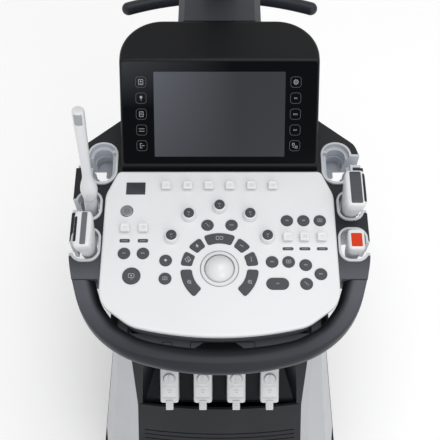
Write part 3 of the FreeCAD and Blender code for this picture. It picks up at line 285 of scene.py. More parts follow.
surface("plug", (0.71, 0.72, 0.735), 0.38, depth=0.03, wear_and_highlight=0.02)
surface("plug_mark", (0.30, 0.31, 0.32), 0.5, depth=0.03, wear_and_highlight=0)
surface("steel", (0.10, 0.105, 0.11), 0.5, metal=0.2, grain=500, depth=0.25, wear_and_highlight=0.4)
for name, colour, roughness in (("aluminium", (0.62, 0.63, 0.65), 0.35), ("screw", (0.50, 0.50, 0.51), 0.3)):
    surface(name, colour, roughness, metal=1.0, grain=700, depth=0.12, cloud=0.15, stretch=(1, 1, 0.03))
surface("caster", (0.16, 0.165, 0.175), 0.45, depth=0.10, wear_and_highlight=0.35)
surface("hub", (0.30, 0.305, 0.32), 0.45, depth=0.08, wear_and_highlight=0.2)
surface("tyre", (0.075, 0.077, 0.082), 0.72, grain=500, depth=0.35, cloud=0.2, wear_and_highlight=0.5)
surface("socket", (0.015, 0.015, 0.017), 0.5, depth=0.05, wear_and_highlight=0.2)

FINISHES = {
    "panel_white": ["control_panel"],
    "key_grey": ["panel_keys", "freeze_key", "arc_keys", "set_keys"],
    "silver": ["power_button"],
    "pearl": ["trackball"],
    "ring_white": ["trackball_ring"],
    "tray": ["console_tray", "console_base"],
    "drawer": ["keyboard_tray"],
    "handle": ["rear_handle", "monitor_arm", "monitor_head"],
    "neck": ["neck"],
    "cup": ["cups"],
    "black": ["touch_housing", "monitor_housing"],
    "glass": ["touch_display", "monitor_screen"],
    "cover": ["left_side_cover", "right_side_cover"],
    "front": ["front_cover", "rear_cover", "base_cover", "io_panel", "fan_frame", "fan_rotor"],
    "gloss_dark": ["upper_cover"],
    "steel": ["chassis_frame", "electronics_cage", "power_supply"],
    "aluminium": ["lift_column", "lift_carriage"],
    "screw": ["cover_screws"],
}


# ---- mesh code ----
class Shape:
    """Collects closed solids, drawn in millimetres, into one piece."""

    def __init__(self, place=MM):
        self.place = place
        self.mesh = bmesh.new()
        self.names = []

    def take(self, part, material, place=None):
        """Adds a finished solid."""
        if material not in self.names:
            self.names.append(material)
        bmesh.ops.recalc_face_normals(part, faces=part.faces)
        for face in part.faces:
            face.material_index = self.names.index(material)
            face.smooth = True
        if place is not None:
            part.transform(place)
        part.transform(self.place)
        part.normal_update()
        holder = bpy.data.meshes.new("part")
        part.to_mesh(holder)
        part.free()
        self.mesh.from_mesh(holder)
        bpy.data.meshes.remove(holder)

    def rings(self, rings, material, place=None, closed=False):
        """A skin over rings of points; the ends are filled unless the rings close up on themselves."""
        part = bmesh.new()
        rows = [[part.verts.new(p) for p in ring] for ring in rings]
        count = len(rows[0])
        last = len(rows) if closed else len(rows) - 1
        for i in range(last):
            here = rows[i]
            after = rows[(i + 1) % len(rows)]
            for j in range(count):
                k = (j + 1) % count
                part.faces.new((here[j], here[k], after[k], after[j]))
        if not closed:
            part.faces.new(rows[0])
            part.faces.new(rows[-1])
        self.take(part, material, place)

    def prism(self, outline, low, high, material, soften=0.0, place=None):
        """An outline (x, y) as a solid from z = low to z = high, with a softened top edge."""
        rings = [[(x, y, low) for x, y in outline], [(x, y, high - soften) for x, y in outline]]
        if soften > 0:
            for turn in (30, 60, 90):
                angle = math.radians(turn)
                inward = soften * (1 - math.cos(angle))
                up = soften * math.sin(angle)
                rings.append([(x, y, high - soften + up) for x, y in shrunk(outline, inward)])
        self.rings(rings, material, place)

    def block(self, low, high, radius, material, place=None):
        """A box with all its edges rounded."""
        part = bmesh.new()
        bmesh.ops.create_cube(part, size=1)
        for vertex in part.verts:
            for i in range(3):
                vertex.co[i] = low[i] if vertex.co[i] < 0 else high[i]
        if radius > 0:
            edges = list(part.edges)
            bmesh.ops.bevel(part, geom=edges, offset=radius, segments=3, affect="EDGES", profile=0.5)
        self.take(part, material, place)

    def lathe(self, profile, material, place=None, count=48, wave=0.0, lobes=0, ribbed=(), closed=False):
        """A turned solid from (radius, z); rings in ribbed are fluted; closed makes a loop with a hole."""
        rings = []
        for row, (radius, z) in enumerate(profile):
            ring = []
            for i in range(count):
                angle = math.tau * i / count
                r = max(radius, 0.02)
                if row in ribbed:
                    r += wave * math.cos(lobes * angle)
                ring.append((r * math.cos(angle), r * math.sin(angle), z))
            rings.append(ring)
        self.rings(rings, material, place, closed)

    def tube(self, points, radius, material, place=None, closed=False, count=10):
        """A round bar along points."""
        rings = []
        total = len(points)
        for i, point in enumerate(points):
            here = Vector(point)
            before = Vector(points[(i - 1) % total]) if closed or i > 0 else here
            after = Vector(points[(i + 1) % total]) if closed or i < total - 1 else here
            along = (after - before).normalized()
            side = along.cross(Vector((0, 0, 1)))
            if side.length < 0.01:
                side = along.cross(Vector((0, 1, 0)))
            side.normalize()
            up = side.cross(along)
            turns = [math.tau * j / count for j in range(count)]
            rings.append([here + side * (radius * math.cos(a)) + up * (radius * math.sin(a)) for a in turns])
        self.rings(rings, material, place, closed)

    def stroke(self, points, width, low, high, material, closed=False, place=None):
        """A flat line of a width along points (x, y), as a thin solid."""
        rings = []
        total = len(points)
        for i in range(total):
            here = Vector(points[i])
            if closed or 0 < i < total - 1:
                before = Vector(points[(i - 1) % total])
                after = Vector(points[(i + 1) % total])
            elif i == 0:
                after = Vector(points[1])
                before = here * 2 - after
            else:
                before = Vector(points[i - 1])
                after = here * 2 - before
            first = (here - before).normalized()
            second = (after - here).normalized()
            mitre = first + second
            mitre = Vector((-mitre.y, mitre.x)).normalized()
            reach = width / 2 / max(0.4, mitre.dot(Vector((-first.y, first.x))))
            left = here + mitre * reach
            right = here - mitre * reach
            rings.append([(*left, low), (*right, low), (*right, high), (*left, high)])
        self.rings(rings, material, place, closed)

    def finish(self, name, body, slot, subdivide=0, sharp=38):
        """The piece, riding on its body."""
        mesh = bpy.data.meshes.new(name)
        self.mesh.to_mesh(mesh)
        self.mesh.free()
        for material in self.names:
            mesh.materials.append(MATERIALS[material])
        mesh.set_sharp_from_angle(angle=math.radians(sharp))
        piece = bpy.data.objects.new(name, mesh)
        bpy.context.scene.collection.objects.link(piece)
        if subdivide:
            smoother = piece.modifiers.new("smooth", "SUBSURF")
            smoother.levels = subdivide
            smoother.render_levels = subdivide
        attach(piece, body)
        return piece


def shrunk(outline, inward):
    """A convex-ish outline moved inwards."""
    result = []
    total = len(outline)
    area = sum(outline[i - 1][0] * outline[i][1] - outline[i][0] * outline[i - 1][1] for i in range(total))
    turn = 1 if area > 0 else -1
    for i in range(total):
        here = Vector(outline[i])
        first = (here - Vector(outline[i - 1])).normalized()
        second = (Vector(outline[(i + 1) % total]) - here).normalized()
        inside = Vector((-first.y - second.y, first.x + second.x)).normalized() * turn
        reach = inward / max(0.4, inside.dot(Vector((-first.y, first.x)) * turn))
        result.append(tuple(here + inside * reach))
    return result


def circle(x, y, radius, count=24, start=0.0, end=360.0):
    """Points round a centre; a full circle doesn't repeat its first point."""
    full = end - start >= 360
    steps = count if full else count - 1
    turns = [math.radians(start + (end - start) * i / steps) for i in range(count)]
    return [(x + radius * math.cos(a), y + radius * math.sin(a)) for a in turns]


def rounded(x, y, width, length, radius, steps=4):
    """A rectangle with round corners, anticlockwise."""
    points = []
    for sx, sy, start in ((1, 1, 0), (-1, 1, 90), (-1, -1, 180), (1, -1, 270)):
        cx = x + sx * (width / 2 - radius)
        cy = y + sy * (length / 2 - radius)
        for i in range(steps + 1):
            a = math.radians(start + 90 * i / steps)
            points.append((cx + radius * math.cos(a), cy + radius * math.sin(a)))
    return points


def superellipse(x, y, width, length, power=2.6, count=32):
    """A soft oval."""
    points = []
    for i in range(count):
        a = math.tau * i / count
        c = math.cos(a)
        s = math.sin(a)
        px = math.copysign(abs(c) ** (2 / power), c) * width / 2
        py = math.copysign(abs(s) ** (2 / power), s) * length / 2
        points.append((x + px, y + py))
    return points


def spaced(outline, step=2.5):
    """The same outline, with its points no more than a step apart."""
    points = []
    for i, (x, y) in enumerate(outline):
        next_x, next_y = outline[(i + 1) % len(outline)]
        count = max(1, math.ceil(math.hypot(next_x - x, next_y - y) / step))
        points += [(x + (next_x - x) * k / count, y + (next_y - y) * k / count) for k in range(count)]
    return points


def drape(shape, target, material, outline, place, lift=0.35, sink=1.5):
    """A thin patch that follows a piece's surface, dropped on it along the local -z."""
    bpy.context.view_layer.update()
    tree = BVHTree.FromObject(target, bpy.context.evaluated_depsgraph_get())
    down = (place.to_3x3() @ Vector((0, 0, -1))).normalized()
    inverse = place.inverted()
    cx = sum(p[0] for p in outline) / len(outline)
    cy = sum(p[1] for p in outline) / len(outline)

    def landed(x, y, offset):
        start = place @ Vector((x, y, 120))
        hit, _, _, _ = tree.ray_cast(start, down, 1.0)
        if hit is None:
            hit = place @ Vector((x, y, 0))
        point = inverse @ hit
        return Vector((x, y, point.z + offset))

    rings = [[landed(x, y, -sink) for x, y in outline]]
    for grow in (1.0, 0.985, 0.8, 0.55, 0.3, 0.08):
        offset = lift * 0.4 if grow == 1.0 else lift
        rings.append([landed(cx + (x - cx) * grow, cy + (y - cy) * grow, offset) for x, y in outline])
    relative = shape.place.inverted() @ place
    shape.rings([[relative @ p for p in ring] for ring in rings], material)


# ---- CAD nodes that keep their shape ----
def dress_cad():
    """Gives every CAD node that keeps its shape its material."""
    finish = {node: name for name, nodes in FINISHES.items() for node in nodes}
    for node in NODES:
        if node.endswith(("_fork", "_pedal")):
            finish[node] = "caster"
    for node, name in finish.items():
        mesh = NODES[node].data
        mesh.materials.clear()
        mesh.materials.append(MATERIALS[name])
        for face in mesh.polygons:
            face.material_index = 0


# ---- generic marks, each a list of (points, closed) lines or filled outlines, in millimetres ----
def bars(count, pitch=1.7, tall=2.4):
    """Short upright bars, as a stand-in for a key's caption."""
    marks = []
    for i in range(count):
        x = (i - (count - 1) / 2) * pitch
        high = tall / 2 if i % 2 == 0 else tall / 2 - 0.5
        marks.append([(x, -tall / 2), (x, high)])
    return [("line", points, False) for points in marks]


def frame_mark(width, length, x=0.0, y=0.0):
    """A rectangle's outline."""
    return ("line", rounded(x, y, width, length, 0.6, 2), True)


def dot(radius, x=0.0, y=0.0):
    """A filled spot."""
    return ("fill", circle(x, y, radius, 16), True)


def ring_mark(radius, x=0.0, y=0.0, start=0, end=360):
    """A circle or an arc."""
    return ("line", circle(x, y, radius, 24, start, end), end - start >= 360)


def line(*points):
    """An open line."""
    return ("line", list(points), False)


def gear():
    """A toothed wheel's outline, round a dot."""
    points = []
    for i in range(48):
        radius = 3.4 if i % 6 < 3 else 2.6
        angle = math.tau * i / 48
        points.append((radius * math.cos(angle), radius * math.sin(angle)))
    return [("line", points, True), dot(1.0)]


MARKS = {
    "bars3": bars(3),
    "bars4": bars(4),
    "diamond": [("fill", [(0, -2.6), (2.6, 0), (0, 2.6), (-2.6, 0)], True)],
    "frame": [frame_mark(7, 5), dot(0.9)],
    "twin": [frame_mark(4.6, 6, -3.2), ("line", rounded(3.2, 0, 4.6, 6, 1.8, 3), True)],
    "book": [frame_mark(3.6, 6.4, -1.9), frame_mark(3.6, 6.4, 1.9), line((-2.9, -4.6), (2.9, -4.6))],
    "pointer": [("fill", [(-2.2, 3.0), (-2.2, -2.6), (-0.8, -1.4), (0.4, -3.4), (1.5, -2.8), (0.5, -0.9),
                          (2.4, -0.8)], True)],
    "target": [ring_mark(3.0), dot(1.0), line((2.1, -2.1), (4.0, -4.0))],
    "power": [ring_mark(3.0, 0, 0, 120, 420), line((0, 1.2), (0, 4.2))],
    "lamp": [dot(2.0, 0, 1.4), line((0, -0.8), (0, -3.4))],
    "page": [frame_mark(5.6, 7.2), line((-1.4, 1.4), (1.4, 1.4)), line((-1.4, -0.6), (1.4, -0.6))],
    "card": [frame_mark(6.4, 7.6), dot(1.2, 0, 1.0), line((-1.8, -1.8), (1.8, -1.8))],
    "layers": [line((-4.2, 1.8), (4.2, 1.8)), line((-4.2, -1.8), (4.2, -1.8))],
    "leave": [line((0.4, 3.2), (-2.6, 3.2), (-2.6, -3.2), (0.4, -3.2)), line((-0.8, 0), (3.6, 0))],
    "cells": [frame_mark(3.0, 3.0, -2.1, 2.1), frame_mark(3.0, 3.0, 2.1, -2.1),
              line((-3.4, -2.1), (-0.8, -2.1))],
    "gear": gear(),
    "corners": [line((-2.6, 1.2), (-2.6, 2.6), (-1.2, 2.6)), line((2.6, -1.2), (2.6, -2.6), (1.2, -2.6)),
                dot(0.8)],
}


def draw_mark(shape, name, place, level, material="mark", width=0.7, scale=1.0, thick=0.12):
    """Puts a mark on a surface at a height."""
    for kind, points, closed in MARKS[name]:
        scaled = [(x * scale, y * scale) for x, y in points]
        if kind == "line":
            shape.stroke(scaled, width, level, level + thick, material, closed, place)
        else:
            shape.prism(scaled, level, level + thick, material, 0, place)


def at(x, y, turn=0.0):
    """A place on a flat surface, turned in its plane."""
    return Matrix.Translation((x, y, 0)) @ turned(turn, "Z")


# ---- marks and small parts on the control panel ----
DIAMOND_KEY_X = -87.6
KEY_MARKS = ["bars3", "bars4", "frame", "bars3", "corners", "bars4"]


def key_marks():
    """A generic mark on every push button."""
    shape = Shape(PANEL)
    for i, (x, y) in enumerate(centres("panel_keys")):
        name = KEY_MARKS[i % len(KEY_MARKS)]
        if abs(x - DIAMOND_KEY_X) < 3 and y > 0:
            name = "diamond"
        draw_mark(shape, name, at(x, y), KEY_TOP, scale=1.0, width=0.65)
    shape.finish("panel_key_marks", "panel_keys", "key_grey")
    shape = Shape(PANEL)
    x, y = centres("freeze_key")[0]
    draw_mark(shape, "frame", at(x, y), KEY_TOP, scale=1.3)
    draw_mark(shape, "bars3", at(x + 1, y - 5.5), KEY_TOP, scale=0.7, width=0.5)
    shape.finish("freeze_key_mark", "freeze_key", "key_grey")
    shape = Shape(PANEL)
    x, y = centres("power_button")[0]
    draw_mark(shape, "power", at(x, y), KEY_TOP, "label", width=0.7)
    shape.finish("power_button_mark", "power_button", "button_silver")


ARC_RADIUS = 54.0


def on_arc(angle):
    """The middle of a button on the arc round the ball, at an angle in degrees."""
    return ARC_RADIUS * math.cos(math.radians(angle)), ARC_RADIUS * math.sin(math.radians(angle))


def arc_marks():
    """Marks on the buttons round the ball, turned to face the user."""
    shape = Shape(PANEL)
    for angle, name in ((90, "twin"), (132, "pointer"), (48, "bars4"), (163, "book"), (17, "corners")):
        turn = 0 if name in ("twin", "pointer") else (angle - 90) * 0.5
        draw_mark(shape, name, at(*on_arc(angle), turn), KEY_TOP, width=0.7)
    shape.finish("arc_key_marks", "arc_keys", "key_grey")
    shape = Shape(PANEL)
    for angle in (206, -26):
        draw_mark(shape, "target", at(*on_arc(angle)), KEY_TOP, scale=0.9)
    shape.finish("set_key_marks", "set_keys", "key_grey")


def encoders():
    """Fluted knobs with a domed grey cap, in place of the plain turned ones."""
    for node in sorted(n for n in NODES if n.startswith("encoder_")):
        x, y = centres(node)[0]
        shape = Shape(PANEL)
        place = at(x, y)
        skirt = [
            (0, 0.8), (11.6, 0.8), (12, 1.4), (12, 2.2), (11.2, 2.8), (11.0, 8.4), (10.4, 9.5), (9.4, 10),
            (8.9, 10), (8.9, 9.2), (0, 9.2),
        ]
        shape.lathe(skirt, "panel_white", place, 96, 0.22, 24, (4, 5))
        cap = [
            (0, 8.0), (8.5, 8.0), (8.55, 11.6), (8.1, 12.6), (7.2, 13.0), (5.0, 12.9), (2.0, 12.8), (0, 12.8),
        ]
        shape.lathe(cap, "cap_grey", place)
        shape.lathe([(0, -5), (3, -5), (3, 1.2), (0, 1.2)], "silver", place, 24)
        draw_mark(shape, "bars3", place, ENCODER_TOP, scale=0.8, width=0.55, thick=0.2)
        draw_mark(shape, "diamond", place @ at(0, -4.4), ENCODER_TOP, scale=0.3, thick=0.2)
        knob = shape.finish(node + "_knob", node, "panel_white")
        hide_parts(node)


PADDLE_SIDES = ((5.0, 7.4, 6.9), (5.5, 8.0, 7.5), (7.6, 7.9, 7.4), (8.9, 7.4, 6.9), (9.4, 6.4, 5.9))
PADDLE_HOLLOW = ((9.5, 0.85), (9.2, 0.7), (8.9, 0.4), (8.85, 0.1))


def paddles():
    """Rocking paddles with a finger hollow, and a faint mark on each."""
    for node in ("menu_paddles", "left_paddles", "right_paddles"):
        shape = Shape(PANEL)
        for i, (x, y) in enumerate(centres(node)):
            place = at(x, y)
            rings = []
            for z, half_x, half_y in PADDLE_SIDES:
                rings.append([(px, py, z) for px, py in rounded(0, 0, 2 * half_x, 2 * half_y, 2.2)])
            for z, scale in PADDLE_HOLLOW:
                rings.append([(px * scale, py * scale, z) for px, py in rounded(0, 0, 14, 13, 2.2)])
            shape.rings(rings, "panel_white", place)
            shape.block((-3, -1.5, -1.5), (3, 1.5, 5.4), 0.3, "panel_white", place)
            turn = place @ Matrix.Translation((0, 0, -1.5)) @ turned(90, "Y")
            shape.lathe([(0, -3.2), (2.5, -3.2), (2.5, 3.2), (0, 3.2)], "panel_white", turn, 20)
            mark = ("bars3", "frame", "bars4")[i % 3]
            draw_mark(shape, mark, place, 8.95, "faint_mark", scale=0.8, width=0.5, thick=0.15)
        piece = shape.finish(node + "_moulded", node, "panel_white")
        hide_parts(node)


WINDOW_PLACE = (-142.4, 147.5)


def panel_details():
    """The label strips, the dark window, the rings round the ball and a thin ring round the power button."""
    shape = Shape(PANEL)
    strips = [(x, row - 21.5, 17, 6.5) for x, row in centres("left_paddles")]
    strips += [(x, row - 19.5, 18, 5.5) for x, row in centres("right_paddles")]
    for x, y, width, length in strips:
        shape.prism(rounded(x, y, width, length, 2.2), -0.4, 0.35, "label", 0.15)
        for i in range(4):
            shape.prism(rounded(x - 3.6 + 2.4 * i, y, 1.5, 1.5, 0.3, 2), 0.3, 0.45, "plug_mark")
    shape.prism(rounded(*WINDOW_PLACE, 34.5, 25.5, 2.0), -0.4, 0.25, "ring_white", 0.2)
    shape.prism(rounded(*WINDOW_PLACE, 32.5, 23.5, 1.2), -0.4, 0.45, "window", 0.15)
    shape.finish("panel_labels", "console", "panel_white")
    shape = Shape(PANEL)
    for x, y in centres("power_button"):
        shape.tube([(px, py, 0.1) for px, py in circle(x, y, 10.6, 48)], 0.45, "silver", closed=True, count=8)
    for radius, level, thickness in ((31.2, 0.1, 0.55), (24.6, 1.0, 0.35)):
        ring = [(px, py, level) for px, py in circle(0, 0, radius, 96)]
        shape.tube(ring, thickness, "silver", closed=True, count=8)
    shape.finish("ball_trim", "console", "button_silver")


# ---- touch screen ----
LCD = (0, 83.5, 222, 143)
TOUCH_KEY_LEFT_X = -132.5
TOUCH_KEY_RIGHT_X = 128.5
TOUCH_KEY_TOP_Y = 138
TOUCH_KEY_PITCH = 26.8


def touch_details():
    """The display's active area, shaded with a painted reflection, and the touch keys at both sides of it."""
    shape = Shape(TOUCH)
    shape.prism(rounded(*LCD, 1.0, 2), -0.5, 0.12, "lcd")
    shape.finish("touch_lcd", "console", "screen_glass")
    shape = Shape(TOUCH)
    left = ["card", "lamp", "page", "layers", "leave"]
    right = ["gear", "bars3", "bars4", "bars3", "cells"]
    for i in range(5):
        y = TOUCH_KEY_TOP_Y - TOUCH_KEY_PITCH * i
        for x, name in ((TOUCH_KEY_LEFT_X, left[i]), (TOUCH_KEY_RIGHT_X, right[i])):
            place = at(x, y)
            shape.stroke(rounded(0, 0, 17.5, 17.5, 4.6), 0.6, -0.2, 0.12, "dim_mark", True, place)
            draw_mark(shape, name, place, 0.0, "touch_mark", scale=1.15, width=0.9)
    shape.finish("touch_key_marks", "console", "screen_glass")


# ---- handle, swept between the CAD grip's inner and outer walls ----
def grip_walls(count=97):
    """For a fan of directions round the grip, the distances of its inner and outer walls (panel frame)."""
    tree = BVHTree.FromObject(NODES["front_handle"], bpy.context.evaluated_depsgraph_get())
    low, high = islands("front_handle", PANEL)[0]
    hub_y = high.y - 0.4
    level = (low.z + high.z) / 2
    start = PANEL @ Vector((0, hub_y, level))
    rays = []
    for i in range(count):
        angle = math.radians(180 + 180 * i / (count - 1))
        way = Vector((math.cos(angle), math.sin(angle), 0))
        world = (PANEL.to_3x3() @ way).normalized()
        inner, _, _, _ = tree.ray_cast(start, world, 1.0)
        outer, _, _, _ = tree.ray_cast(inner + world * 0.002, world, 1.0)
        rays.append((way, (inner - start).length * 1000, (outer - start).length * 1000))
    return hub_y, rays


def hold_ends(mesh):
    """Keeps the end faces of a sweep at full size when it is subdivided."""
    numbers = {key: i for i, key in enumerate(mesh.edge_keys)}
    crease = mesh.attributes.new("crease_edge", "FLOAT", "EDGE")
    for face in mesh.polygons:
        if len(face.vertices) > 8:
            for key in face.edge_keys:
                crease.data[numbers[key]].value = 1.0


def handle():
    """The grip: a crowned top, a crease towards the user and a slanting face below it."""
    hub_y, rays = grip_walls()
    shape = Shape(PANEL)
    rings = []
    for way, inner, outer in rays:
        front = max(0.0, -way.y) ** 1.5
        crease = 0.975 - 0.275 * front
        drop = 1.5 + 5.5 * front
        section = [
            (0.00, -28), (0.00, -22), (0.04, -17.5), (0.14, -13.6), (0.28, -10.7), (0.44, -9.1),
            (crease - 0.12, -9.6), (crease - 0.02, -10.4), (crease + 0.01, -11.4),
            (crease + (1 - crease) * 0.5, -10.6 - drop), (0.985, -16 - drop), (1.00, -23 - drop),
            (0.985, -33), (0.90, -40.5), (0.75, -43.6), (0.30, -43.6), (0.10, -40), (0.01, -34),
        ]
        ring = []
        for share, z in section:
            reach = inner + (outer - inner) * share
            ring.append((way.x * reach, hub_y + way.y * reach, z))
        rings.append(ring)
    shape.rings(rings, "grip")
    piece = shape.finish("grip", "console", "tray_charcoal", subdivide=2, sharp=75)
    hold_ends(piece.data)
    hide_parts("front_handle")


# ---- probes, in place of the CAD's plain lofts ----
# name: grip (width, length), ribs, soft ovals (height, width, length, power) with heights from the foot,
# the same with heights from the panel, windows (material, x, y, width, length, corner)
HAND_PROBES = {
    "flat_probe": (
        (24, 39), 4,
        [(0, 17, 30, 2.6), (3, 20, 34, 2.6), (20, 22, 37, 2.8)],
        [(-12, 24, 39, 2.8), (4, 25.4, 45, 3.0), (24, 28, 57, 3.6), (38, 29.8, 62.8, 4.4),
         (46, 30.0, 63.2, 5.2), (50.5, 29.4, 62.8, 6.0), (53.2, 27.6, 61.8, 6.5), (54.6, 24.4, 60, 6.5),
         (55, 18, 53, 6.0), (55, 6, 20, 4.0)],
        [("lens_grey", 2.0, 0.5, 9.0, 57, 2.0), ("lens_black", -11.4, -1, 5.0, 44, 2.2)],
    ),
    "convex_probe": (
        (28, 39), 3,
        [(0, 21, 30, 2.6), (3, 24, 34, 2.6), (20, 26, 37, 2.6)],
        [(-10, 28.6, 40, 2.6), (6, 30, 48, 2.8), (26, 32.8, 60, 3.6), (40, 34.6, 66, 4.4),
         (48, 34.8, 66.8, 5.2), (53, 34.2, 66.4, 6.0), (56.0, 32.4, 65, 6.5), (57.5, 29.2, 63, 6.5),
         (58, 23, 56, 6.0), (58, 8, 24, 4.0)],
        [("lens", 0.2, 0.5, 18.6, 58, 2.2), ("lens_black", 13.8, 0, 4.4, 52, 1.8)],
    ),
    "sector_probe": (
        (23, 34), 2,
        [(0, 17, 26, 2.6), (3, 20, 30, 2.6), (16, 22, 33, 2.6)],
        [(-30, 23, 34, 2.6), (-12, 25, 36, 3.0), (2, 27.4, 37.6, 3.8), (9, 27.8, 37.8, 4.8),
         (12.6, 27.2, 37.2, 5.6), (14.8, 25.2, 35.4, 6.0), (15.8, 22, 32, 6.0), (16, 17, 26, 5.0),
         (16, 6, 10, 4.0)],
        [("lens_red", 0.2, -1.8, 18.0, 24.0, 1.6)],
    ),
}


def hand_probes():
    """The flat, the convex and the sector probe: a soft body with grip ribs, and windows on its top."""
    for name, (grip, ribs, foot, head, windows) in HAND_PROBES.items():
        bottom = islands(name, PANEL)[0][0].z
        place = PANEL @ at(*centres(name)[0])
        shape = Shape(place)
        rings = []
        for z, width, length, power in [(bottom + up, *oval) for up, *oval in foot] + head:
            rings.append([(x, y, z) for x, y in superellipse(0, 0, width, length, power)])
        shape.rings(rings, "probe")
        outer = superellipse(0, 0, grip[0] + 1.2, grip[1] + 1.2, 2.8)
        inner = superellipse(0, 0, grip[0] - 1.0, grip[1] - 1.0, 2.8)
        for i in range(ribs):
            z = -2.0 - 5.0 * i
            band = ((inner, z - 1.0), (outer, z - 0.5), (outer, z + 0.5), (inner, z + 1.0))
            shape.rings([[(x, y, level) for x, y in outline] for outline, level in band], "probe_grip")
        body = shape.finish(name + "_body", name, "probe_white", subdivide=1, sharp=80)
        shape = Shape(place)
        for material, x, y, width, length, corner in windows:
            drape(shape, body, material, spaced(rounded(x, y, width, length, corner, 5)), place)
        shape.finish(name + "_window", name, "probe_white")
        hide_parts(name)


def rod_probe():
    """The long probe: a grey grip, a collar, a bulb and a slim white rod with a window at its tip."""
    vertices = [v.co for v in NODES["rod_probe"].data.vertices]
    foot = min(vertices, key=lambda c: c.z)
    top = max(vertices, key=lambda c: c.z)
    foot_ring = [c for c in vertices if (c - foot).length < 0.021]
    top_ring = [c for c in vertices if (c - top).length < 0.016]
    start = sum(foot_ring, Vector()) / len(foot_ring)
    end = sum(top_ring, Vector()) / len(top_ring)
    axis = (end - start).normalized()
    length = max((c - foot).dot(axis) for c in vertices) * 1000
    turn = Vector((0, 0, 1)).rotation_difference(axis).to_matrix().to_4x4()
    place = Matrix.Translation(end - axis * (end - foot).dot(axis)) @ turn @ MM
    shape = Shape(place)
    scale = length / 255.0
    profile = [
        (0, 0), (7.5, 0), (9.4, 1.0), (10.8, 4), (11.2, 10), (11.4, 58), (11.5, 61.6), (10.9, 62.2),
        (10.9, 63.4), (11.7, 64.0), (12.2, 67), (13.4, 73), (14.3, 79.5), (14.3, 83.5), (13.6, 90),
        (11.6, 98), (9.4, 105), (8.2, 112), (7.8, 124), (8.3, 160), (9.1, 205), (9.7, 236), (9.8, 248),
        (9.5, 252), (8.6, 254.4), (7, 255), (0, 255),
    ]
    shape.lathe([(r, z * scale) for r, z in profile[:7]] + [(0, profile[6][1] * scale)], "rod_grip")
    shape.lathe([(0, 60 * scale)] + [(r, z * scale) for r, z in profile[7:]], "probe")
    body = shape.finish("rod_probe_body", "rod_probe", "probe_white", sharp=40)
    shape = Shape(place)
    rings = []
    for z, grow in ((230, -0.6), (231, 0.25), (238, 0.3), (247.5, 0.3), (251.4, 0.25), (252.6, -0.6)):
        radius = 9.62 + (z - 229) * 0.011 if z < 250 else 9.55
        ring = []
        for reach, way in ((radius + grow, 1), (radius - 1.6, -1)):
            for i in range(17):
                angle = math.radians(-90 + way * (76 * i / 16 - 38))
                ring.append((reach * math.cos(angle), reach * math.sin(angle), z * scale))
        rings.append(ring)
    shape.rings(rings, "lens_pale")
    shape.finish("rod_probe_window", "rod_probe", "probe_white")
    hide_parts("rod_probe")


# ---- probe plugs ----
PLUG_CASE = (
    (0.4, 34, 93, 4), (1.2, 35.4, 94.4, 4.6), (22, 35.8, 94.8, 5), (25, 35.4, 94.2, 5), (27.2, 33.4, 92, 4.4),
    (27.9, 30, 89, 4),
)


def plugs():
    """Four plugs: a soft case with a lock knob, a label field, small marks and a ribbed cable boot."""
    shape = Shape(MM)
    slope = Matrix.Rotation(PORT_SLOPE, 4, "X")
    local = [slope.inverted() @ v.co for v in NODES["probe_plugs"].data.vertices]
    base = min(c.z for c in local)
    foot = min(c.y for c in local)
    for left, right in islands("probe_plugs", Matrix.Identity(4)):
        x = (left.x + right.x) / 2
        origin = slope @ Vector((0, foot + 0.008, base - 0.0002))
        place = Matrix.Scale(1000, 4) @ Matrix.Translation((x, origin.y, origin.z)) @ slope @ MM
        case = []
        for z, width, length, radius in PLUG_CASE:
            case.append([(px, py, z) for px, py in rounded(0, 52.5, width, length, radius)])
        shape.rings(case, "plug", place)
        shape.stroke(rounded(0, 52.5, 36.0, 95.0, 5), 0.7, 11.5, 12.3, "plug_mark", True, place)
        knob = place @ Matrix.Translation((0, 56, 0))
        shape.lathe([(0, 27), (12.2, 27), (12.4, 28.4), (11.8, 28.8), (0, 28.8)], "plug", knob)
        dial = [(0, 28), (10.6, 28), (10.8, 31), (10.0, 32), (0, 32)]
        shape.lathe(dial, "plug", knob, 48, 0.25, 16, (2, 3))
        shape.block((-1.6, -9.4, 31.6), (1.6, 9.4, 32.9), 0.6, "plug", knob)
        shape.stroke(circle(0, 0, 11.3, 40), 0.5, 28.7, 28.95, "plug_mark", True, knob)
        shape.prism(rounded(0, 30, 26, 20, 1.5), 27.6, 28.15, "panel_white", 0.2, place)
        for i, (y, width) in enumerate(((33, 9), (28.5, 5))):
            shape.stroke([(-width / 2, y), (width / 2, y)], 0.7, 28.1, 28.3, "plug_mark", False, place)
        shape.stroke([(-14, 16.5), (14, 16.5)], 0.6, 27.7, 28.05, "plug_mark", False, place)
        shape.block((-7, -8, 20.8), (7, 12, 29.4), 1.2, "plug", place)
        for i in range(4):
            shape.block((-7.3, -6.4 + 3.4 * i, 20.6), (7.3, -5.0 + 3.4 * i, 29.8), 0.4, "plug", place)
    piece = shape.finish("probe_plug_cases", "probe_plugs", "plug_white")
    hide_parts("probe_plugs")


# ---- drawer front, seen through the gap above the grip ----
def drawer_marks():
    """Moulded lines on the drawer's front edge: an oval, a frame and a finger hollow, painted dark as shade.
    """
    shape = Shape(PANEL)
    low, high = islands("keyboard_tray", PANEL)[0]
    level = high.z
    front = low.y
    shape.stroke(superellipse(-85, front + 12, 17, 8), 1.0, level, level + 0.3, "painted_gap_shade", True)
    shape.stroke(rounded(5, front + 9.5, 104, 13, 1.5, 3), 1.0, level, level + 0.3, "painted_gap_shade", True)
    hollow = [(-42, front + 4), (42, front + 4), (26, front + 15), (-26, front + 15)]
    shape.prism(hollow, level, level + 0.25, "painted_gap_shade")
    shape.finish("drawer_marks", "keyboard", "tray_charcoal")


